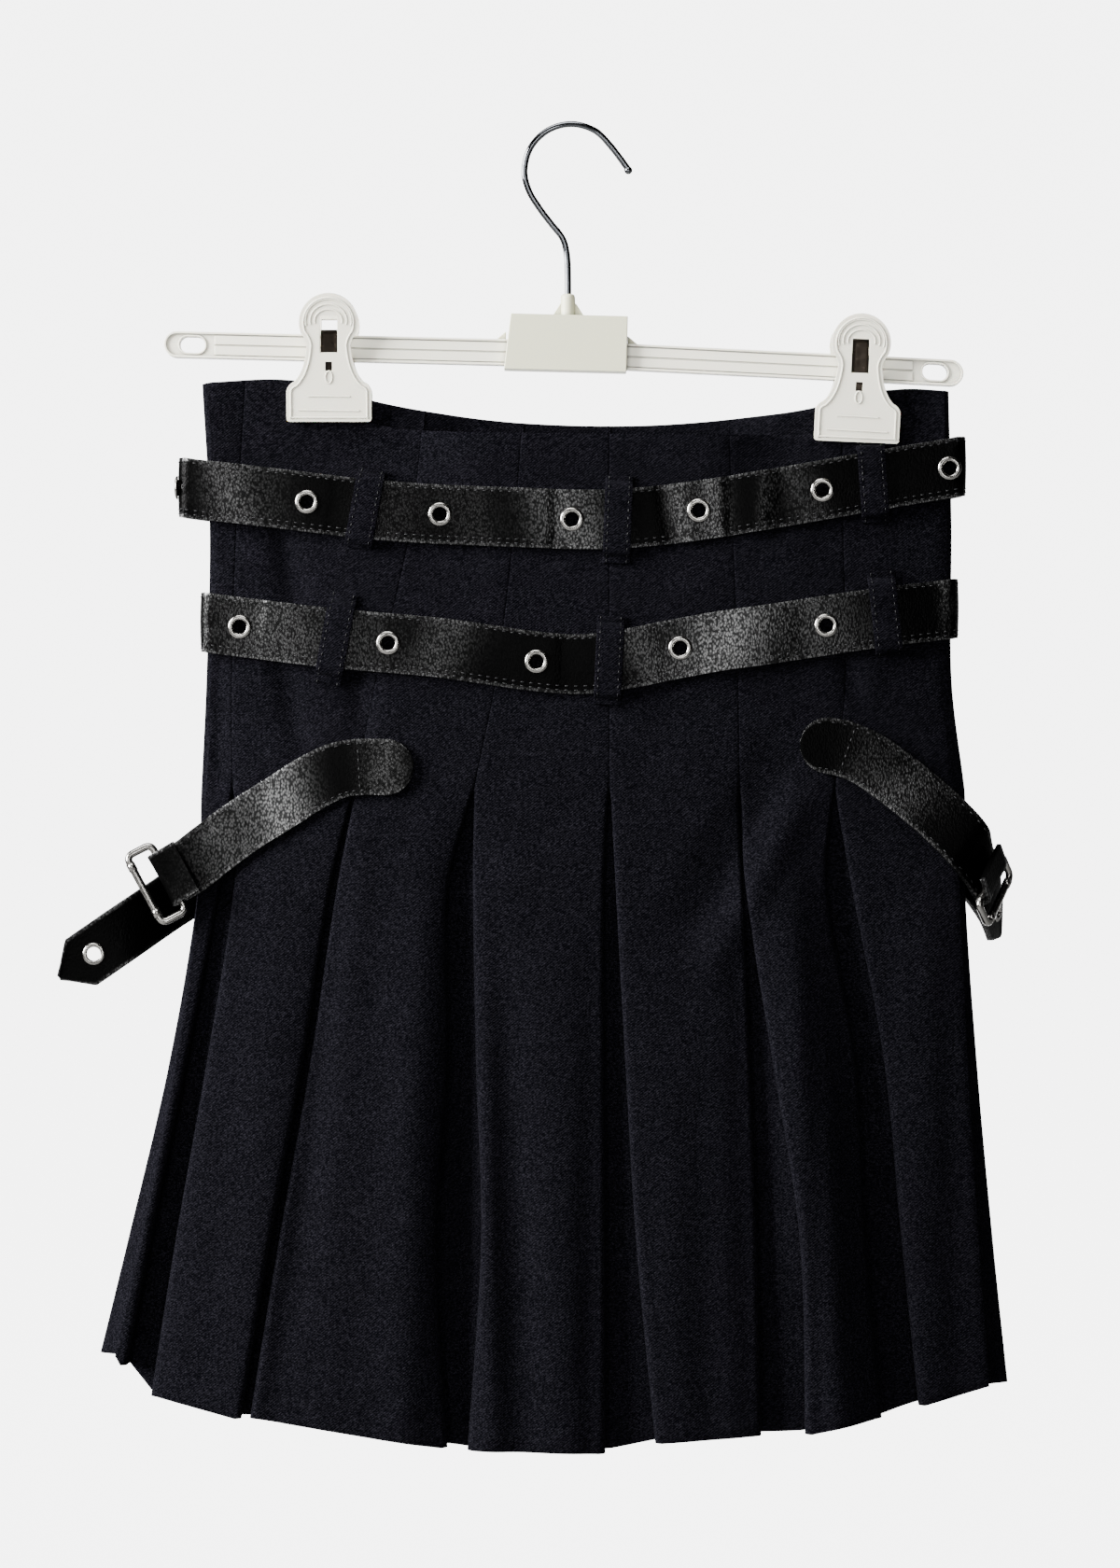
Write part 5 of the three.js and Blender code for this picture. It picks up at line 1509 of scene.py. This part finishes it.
def make_bar():
    bm = bmesh.new()
    outline = slot_outline(BAR_X[0], BAR_X[2], BAR["height"])
    inner = slot_outline(BAR_X[0] + BAR["rim"], BAR_X[2] - BAR["rim"], BAR["height"] - 2 * BAR["rim"])
    near = BAR_X[0] + BAR_EYE["inset"]
    far = BAR_X[2] - BAR_EYE["inset"]
    starts = (near, far - BAR_EYE["length"])
    eyes = [slot_outline(start, start + BAR_EYE["length"], BAR_EYE["height"]) for start in starts]
    plate(bm, [outline, *eyes], BAR["web_depth"])
    plate(bm, [outline, inner], BAR["rim_depth"])
    for eye in eyes:
        plate(bm, [inset_outline(eye, -0.9), eye], BAR["rim_depth"] - 0.6)
    for low, high in ((0.35, 4.7), (-4.7, -0.35)):
        start = BAR_X[0] + 24
        end = BAR_X[2] - 24
        band = [(x, low) for x in (start, BAR_X[1], end)] + [(x, high) for x in (end, BAR_X[1], start)]
        plate(bm, [band], BAR["band_depth"])
    bow_bar(bm)
    finish_piece("hanger_bar_moulding", bm, "plastic", ["hanger_bar"], rim=0.3, hard=True)


def make_block():
    bm = bmesh.new()
    left, right, top, bottom = (BLOCK[name] for name in ("left", "right", "top", "bottom"))
    middle_x = (left + right) / 2
    middle_z = (top + bottom) / 2
    half_x = (right - left) / 2
    half_z = (top - bottom) / 2
    edge = half_x - 0.2
    outline = [(-half_x - 0.6, -half_z), (edge, -half_z), (edge, half_z), (2 - half_x, half_z)]
    made = plate(bm, [outline], BLOCK["depth"])
    seat = turned(-BLOCK["tilt"], "Y", (middle_x, 0, middle_z))
    bmesh.ops.transform(bm, matrix=seat, verts=made)
    # The collar that holds the hook's shank, and the two webs at its foot.
    collar = [(1.7, -93), (1.7, -79.9), (2.3, -79.4), (3.0, -79.9), (3.4, -81), (3.7, -93)]
    lathe(bm, collar, Matrix.Translation((STEM_X, 0, 0)))
    plate(bm, [[(-9.3, -90.4), (6.7, -90.9), (2.4, -84), (-5.2, -84)]], 2.4)
    # Webs where the bar runs into the block.
    for end, sign in ((left, -1), (right, 1)):
        foot = bar_z(end)
        web = [(end, foot + 5.8), (end + sign * 5, foot + 5.8), (end, foot + 10)]
        plate(bm, [web if sign > 0 else web[::-1]], 5)
    finish_piece("hanger_block_moulding", bm, "block", ["hanger_block"], rim=0.9, hard=True, segments=3)


def make_hook():
    bm = bmesh.new()
    end_x = 27.2
    stops = [(end_x, -20)]
    for degrees in (32, 60, 90, 120, 150, 180, 205):
        stops += arc(0, -20.7, 22.2, 22.2, degrees, degrees, 1)[:1]
    stops += [(-15, -38.6), (-9.4, -46), (-4, -53), (STEM_X - 0.6, -60), (STEM_X, -70), (STEM_X, -97)]
    rows = [(Vector((x, 0, z)), Vector((0, -1, 0)), 1) for x, z in stops]
    wire(bm, [station.at for station in strip_stations(rows, 1.4)], 1.5, (0, 1, 0), 18)
    ball = Matrix.Translation((end_x, 0, -20.5))
    bmesh.ops.create_uvsphere(bm, u_segments=20, v_segments=12, radius=1.95, matrix=ball)
    finish_piece("hook_wire", bm, "chrome", ["hook"])


def lever_outline():
    """Head, neck and jaw of a clip, anticlockwise from the jaw's lower left."""
    right = [(18.6, -34.8), *bend((18.6, -34.8), (20.2, -34.8), (20.2, -33.2), 4), (20.2, -21)]
    right += bend((20.2, -21), (20.2, -17.5), (16.7, -16), 5)
    right += bend((16.7, -16), (11.4, -11), (10.4, 1.5), 10)
    right += bend((10.4, 1.5), (10.6, 4), (13.15, 7.4), 4)
    head = arc(0, 12.2, 14, 14, -20, 90, 16)[1:]
    half = right + head
    return half + [(-x, z) for x, z in half[-2::-1]]


def lever_ridges(bm, outline, side):
    """Raised lines on a lever's outer face: the rim, the arcs over the window and two on the jaw."""
    face = side * LEVER["thick"] / 2
    lines = [(inset_outline(outline, 2.1), True, 0.5)]
    for radius_x, radius_z in ((10.9, 10.2), (8.7, 7.8), (6.5, 5.3)):
        lines.append((arc(0, 13.2, radius_x, radius_z, -14, 194, 24), False, 0.42))
    lines.append(([(-10, -22.6), (0, -22.6), (10, -22.8)], False, 0.4))
    lines.append(([(-14.5, -29.2), (0, -29.4), (14.5, -29.6)], False, 0.4))
    lines.append((arc(0, -13.6, 1.6, 2.9, 0, 330, 12), True, 0.42))
    for line, closed, radius in lines:
        wire(bm, [Vector((x, face, z)) for x, z in line], radius, (0, 1, 0), 6, closed)


def make_clip(clip):
    seat = turned(-clip["tilt"], "Y", (clip["x"], 0, bar_z(clip["x"])))
    window = [(-4.2, -2), (4.2, -2), (4.2, 15.5), (-4.2, 15.5)]
    slot = [(-1.6, -10.6), (1.6, -10.6), (1.6, -6.3), (-1.6, -6.3)]
    for side, where in ((FRONT, "front"), (BACK, "back")):
        bm = bmesh.new()
        outline = lever_outline()
        plate(bm, [outline, window, slot], LEVER["thick"])
        lever_ridges(bm, outline, side)
        lean = turned(-side * LEVER["slope"], "X", (0, side * LEVER["grip"], LEVER["bottom"]))
        lean = lean @ Matrix.Translation((0, side * LEVER["thick"] / 2, -LEVER["bottom"]))
        bmesh.ops.transform(bm, matrix=seat @ lean, verts=bm.verts)
        node = f"clip_{clip['name']}_{where}"
        finish_piece(f"{node}_lever", bm, "plastic", [node], rim=0.4, hard=True)
    top = clip["spring_top"]
    stops = [(-4.9, -11), (-4.9, top - 1.2), (-3.7, top), (3.7, top), (4.9, top - 1.2), (4.9, -11)]
    rows = []
    for i, (y, z) in enumerate(stops):
        before, after = around(stops, i)
        along = Vector((0, after[0] - before[0], after[1] - before[1])).normalized()
        rows.append((Vector((0, y, z)), Vector((1, 0, 0)).cross(along) * -1, 4))
    bm = bmesh.new()
    sheet_grid(bm, strip_points(strip_stations(rows, 0.5), 4, cupped(0)))
    bmesh.ops.transform(bm, matrix=seat, verts=bm.verts)
    node = f"clip_{clip['name']}_spring"
    finish_piece(f"{node}_strip", bm, "spring", [node], 0.8, 0.2)


def make_stage(look):
    """A pale wall far behind the skirt that runs on as a pale floor, and soft studio light."""
    bm = bmesh.new()
    wall_y = look.wall
    profile = [(wall_y, WALL_TOP)]
    profile += [(wall_y - COVE + y, FLOOR_Z + COVE + z) for y, z in arc(0, 0, COVE, COVE, 0, -90, 16)]
    profile.append((-ROOM_REACH, FLOOR_Z))
    sheet_grid(bm, [[Vector((x, y, z)) for x in (-ROOM_REACH, 0, ROOM_REACH)] for y, z in profile])
    mesh = bpy.data.meshes.new("backdrop")
    bm.to_mesh(mesh)
    bm.free()
    mesh.shade_smooth()
    backdrop = bpy.data.objects.new("backdrop", mesh)
    bpy.context.scene.collection.objects.link(backdrop)
    paint, nodes = new_material("translucent_paper")
    # The light panel behind the paper reaches a little past the picture and fades out round it.
    away = nodes.vector("DISTANCE", {0: nodes.place(), 1: (0, look.wall, MIDDLE_Z)})["Value"]
    glow = nodes.spread(away, 1.32, 2, look.glow, 0.15, interpolation_type="SMOOTHSTEP")
    paper = {"Base Color": linear(look.paper), "Roughness": 0.95}
    nodes.shade({**paper, "Emission Color": (1, 1, 1, 1), "Emission Strength": glow})
    mesh.materials.append(paint)

    world = bpy.data.worlds.new("studio")
    world.use_nodes = True
    nodes = Nodes(world.node_tree)
    # The room is bright to the left and above, and dim to the right and behind the camera.
    way = nodes.vector("DOT_PRODUCT", {0: nodes.place("Generated"), 1: (-0.75, 0.35, 0.5)})["Value"]
    room = nodes.spread(way, -0.8, 0.9, 0.03, 1)
    background = world.node_tree.nodes["Background"]
    nodes.put(background.inputs["Strength"], nodes.combine("MULTIPLY", room, look.ambient))
    bpy.context.scene.world = world

    lamps = (
        ("key_softbox", (-2.35, -0.78, 0.55), (1.1, 1.5), look.key),
        ("top_softbox", (-0.4, -0.75, 1.7), (1.5, 0.8), look.top),
        ("left_strip", (-0.75, -2.3, -0.1), (0.3, 1.3), look.strips * 0.5),
        ("right_strip", (0.34, -2.4, -0.1), (0.22, 1.3), look.strips * 0.5),
    )
    for name, place, size, power in lamps:
        light = bpy.data.lights.new(name, "AREA")
        light.shape = "RECTANGLE"
        light.size, light.size_y = size
        light.energy = power
        lamp = bpy.data.objects.new(name, light)
        lamp.location = place
        lamp.rotation_euler = (Vector((0, 0, -0.32)) - lamp.location).to_track_quat("-Z", "Y").to_euler()
        bpy.context.scene.collection.objects.link(lamp)

    lens = bpy.data.cameras.new("camera")
    lens.lens = LENS
    lens.sensor_width = SENSOR
    camera = bpy.data.objects.new("camera", lens)
    camera.location = CAMERA
    camera.rotation_euler = (math.pi / 2, 0, 0)
    bpy.context.scene.collection.objects.link(camera)
    bpy.context.scene.camera = camera


# Settings and operators


class SkirtCloth(bpy.types.PropertyGroup):
    yarn: StringProperty(name="Yarn", description="Hex colour of the twill's dark yarn", default="#020204")
    fleck: StringProperty(name="Fleck", description="Hex colour of the pale fibres", default="#19181d")


class SkirtLeather(bpy.types.PropertyGroup):
    leather: StringProperty(name="Leather", description="Hex colour of the leather", default="#020202")
    thread: StringProperty(name="Thread", description="Hex colour of the thread", default="#070709")


class SkirtMetal(bpy.types.PropertyGroup):
    nickel: StringProperty(name="Nickel", description="Hex colour of eyelets and buckles", default="#908e8a")
    chrome: StringProperty(name="Chrome", description="Hex colour of the hook", default="#5b5d60")
    spring: StringProperty(name="Spring", description="Hex colour of the clip springs", default="#211d19")


class SkirtHanger(bpy.types.PropertyGroup):
    ivory: StringProperty(name="Ivory", description="Hex colour of the bar and clips", default="#f0ecda")
    cream: StringProperty(name="Cream", description="Hex colour of the block", default="#d3d2b4")


class SkirtStage(bpy.types.PropertyGroup):
    paper: StringProperty(name="Paper", description="Hex colour of the backdrop", default="#808080")
    glow: FloatProperty(name="Glow", description="Light that comes through the backdrop", default=5.4)
    wall: FloatProperty(name="Wall", description="How far behind the hanger", default=4.2, unit="LENGTH")
    ambient: FloatProperty(name="Ambient", description="Strength of the even light", default=0.4)
    key: FloatProperty(name="Key", description="Power of the left softbox in watts", default=470)
    top: FloatProperty(name="Top", description="Power of the softbox overhead in watts", default=52)
    strips: FloatProperty(name="Strips", description="Power of the strip lights in watts", default=30)


class SKIRT_OT_gores(bpy.types.Operator):
    """Hang the pleated gores"""

    bl_idname = "skirt.gores"
    bl_label = "Gores"

    def execute(self, context):
        make_gore("side_gore_left", side_gore("left", 0))
        make_gore("side_gore_right", side_gore("right", len(PLEATS)))
        for index in range(1, len(PLEATS)):
            make_gore(f"front_gore_{index}", middle_gore(FRONT, index))
            make_gore(f"back_gore_{index}", middle_gore(BACK, index))
        return {"FINISHED"}


class SKIRT_OT_belts(bpy.types.Operator):
    """Run the two leather belts round the skirt, with their eyelets and back buckles"""

    bl_idname = "skirt.belts"
    bl_label = "Belts"

    def execute(self, context):
        for number in range(len(BELTS)):
            make_belt(number)
            make_belt_eyelets(number)
            make_belt_buckle(number)
        return {"FINISHED"}


class SKIRT_OT_loops(bpy.types.Operator):
    """Sew the belt loops over the belts"""

    bl_idname = "skirt.loops"
    bl_label = "Belt loops"

    def execute(self, context):
        for loop in LOOPS:
            make_loop(loop, FRONT)
            if not loop.name.endswith("centre"):
                make_loop(loop, BACK)
        return {"FINISHED"}


class SKIRT_OT_straps(bpy.types.Operator):
    """Sew on the hip straps with their buckles and tip eyelets"""

    bl_idname = "skirt.straps"
    bl_label = "Hip straps"

    def execute(self, context):
        for strap in STRAPS:
            make_strap(strap)
        make_hip_buckle(STRAPS[0], "left")
        make_hip_buckle(STRAPS[1], "right")
        return {"FINISHED"}


class SKIRT_OT_hanger(bpy.types.Operator):
    """Mould the hanger's bar and block and bend its hook"""

    bl_idname = "skirt.hanger"
    bl_label = "Hanger"

    def execute(self, context):
        make_bar()
        make_block()
        make_hook()
        return {"FINISHED"}


class SKIRT_OT_clips(bpy.types.Operator):
    """Close the two clips on the waist"""

    bl_idname = "skirt.clips"
    bl_label = "Clips"

    def execute(self, context):
        for clip in CLIPS:
            make_clip(clip)
        return {"FINISHED"}


class SKIRT_OT_stage(bpy.types.Operator):
    """Set up the backdrop, the light and the camera"""

    bl_idname = "skirt.stage"
    bl_label = "Stage"

    def execute(self, context):
        make_stage(context.scene.skirt_stage)
        return {"FINISHED"}


OPERATORS = (
    SKIRT_OT_gores,
    SKIRT_OT_belts,
    SKIRT_OT_loops,
    SKIRT_OT_straps,
    SKIRT_OT_hanger,
    SKIRT_OT_clips,
    SKIRT_OT_stage,
)
GROUPS = {
    "skirt_cloth": SkirtCloth,
    "skirt_leather": SkirtLeather,
    "skirt_metal": SkirtMetal,
    "skirt_hanger": SkirtHanger,
    "skirt_stage": SkirtStage,
}


class SKIRT_PT_panel(bpy.types.Panel):
    """Settings and pieces of the skirt"""

    bl_idname = "SKIRT_PT_panel"
    bl_label = "Skirt"
    bl_space_type = "VIEW_3D"
    bl_region_type = "UI"
    bl_category = "Skirt"

    def draw(self, context):
        for name, group in GROUPS.items():
            box = self.layout.box()
            for setting in group.__annotations__:
                box.prop(getattr(context.scene, name), setting)
        for operator in OPERATORS:
            self.layout.operator(operator.bl_idname)


def register():
    for group in GROUPS.values():
        bpy.utils.register_class(group)
    for name, group in GROUPS.items():
        setattr(bpy.types.Scene, name, PointerProperty(type=group))
    for kind in (*OPERATORS, SKIRT_PT_panel):
        bpy.utils.register_class(kind)


def unregister():
    for kind in (SKIRT_PT_panel, *reversed(OPERATORS)):
        bpy.utils.unregister_class(kind)
    for name, group in reversed(GROUPS.items()):
        delattr(bpy.types.Scene, name)
        bpy.utils.unregister_class(group)


def main():
    register()
    bpy.ops.skirt.gores()
    bpy.ops.skirt.belts()
    bpy.ops.skirt.loops()
    bpy.ops.skirt.straps()
    bpy.ops.skirt.hanger()
    bpy.ops.skirt.clips()
    bpy.ops.skirt.stage()


if __name__ == "__main__":
    main()
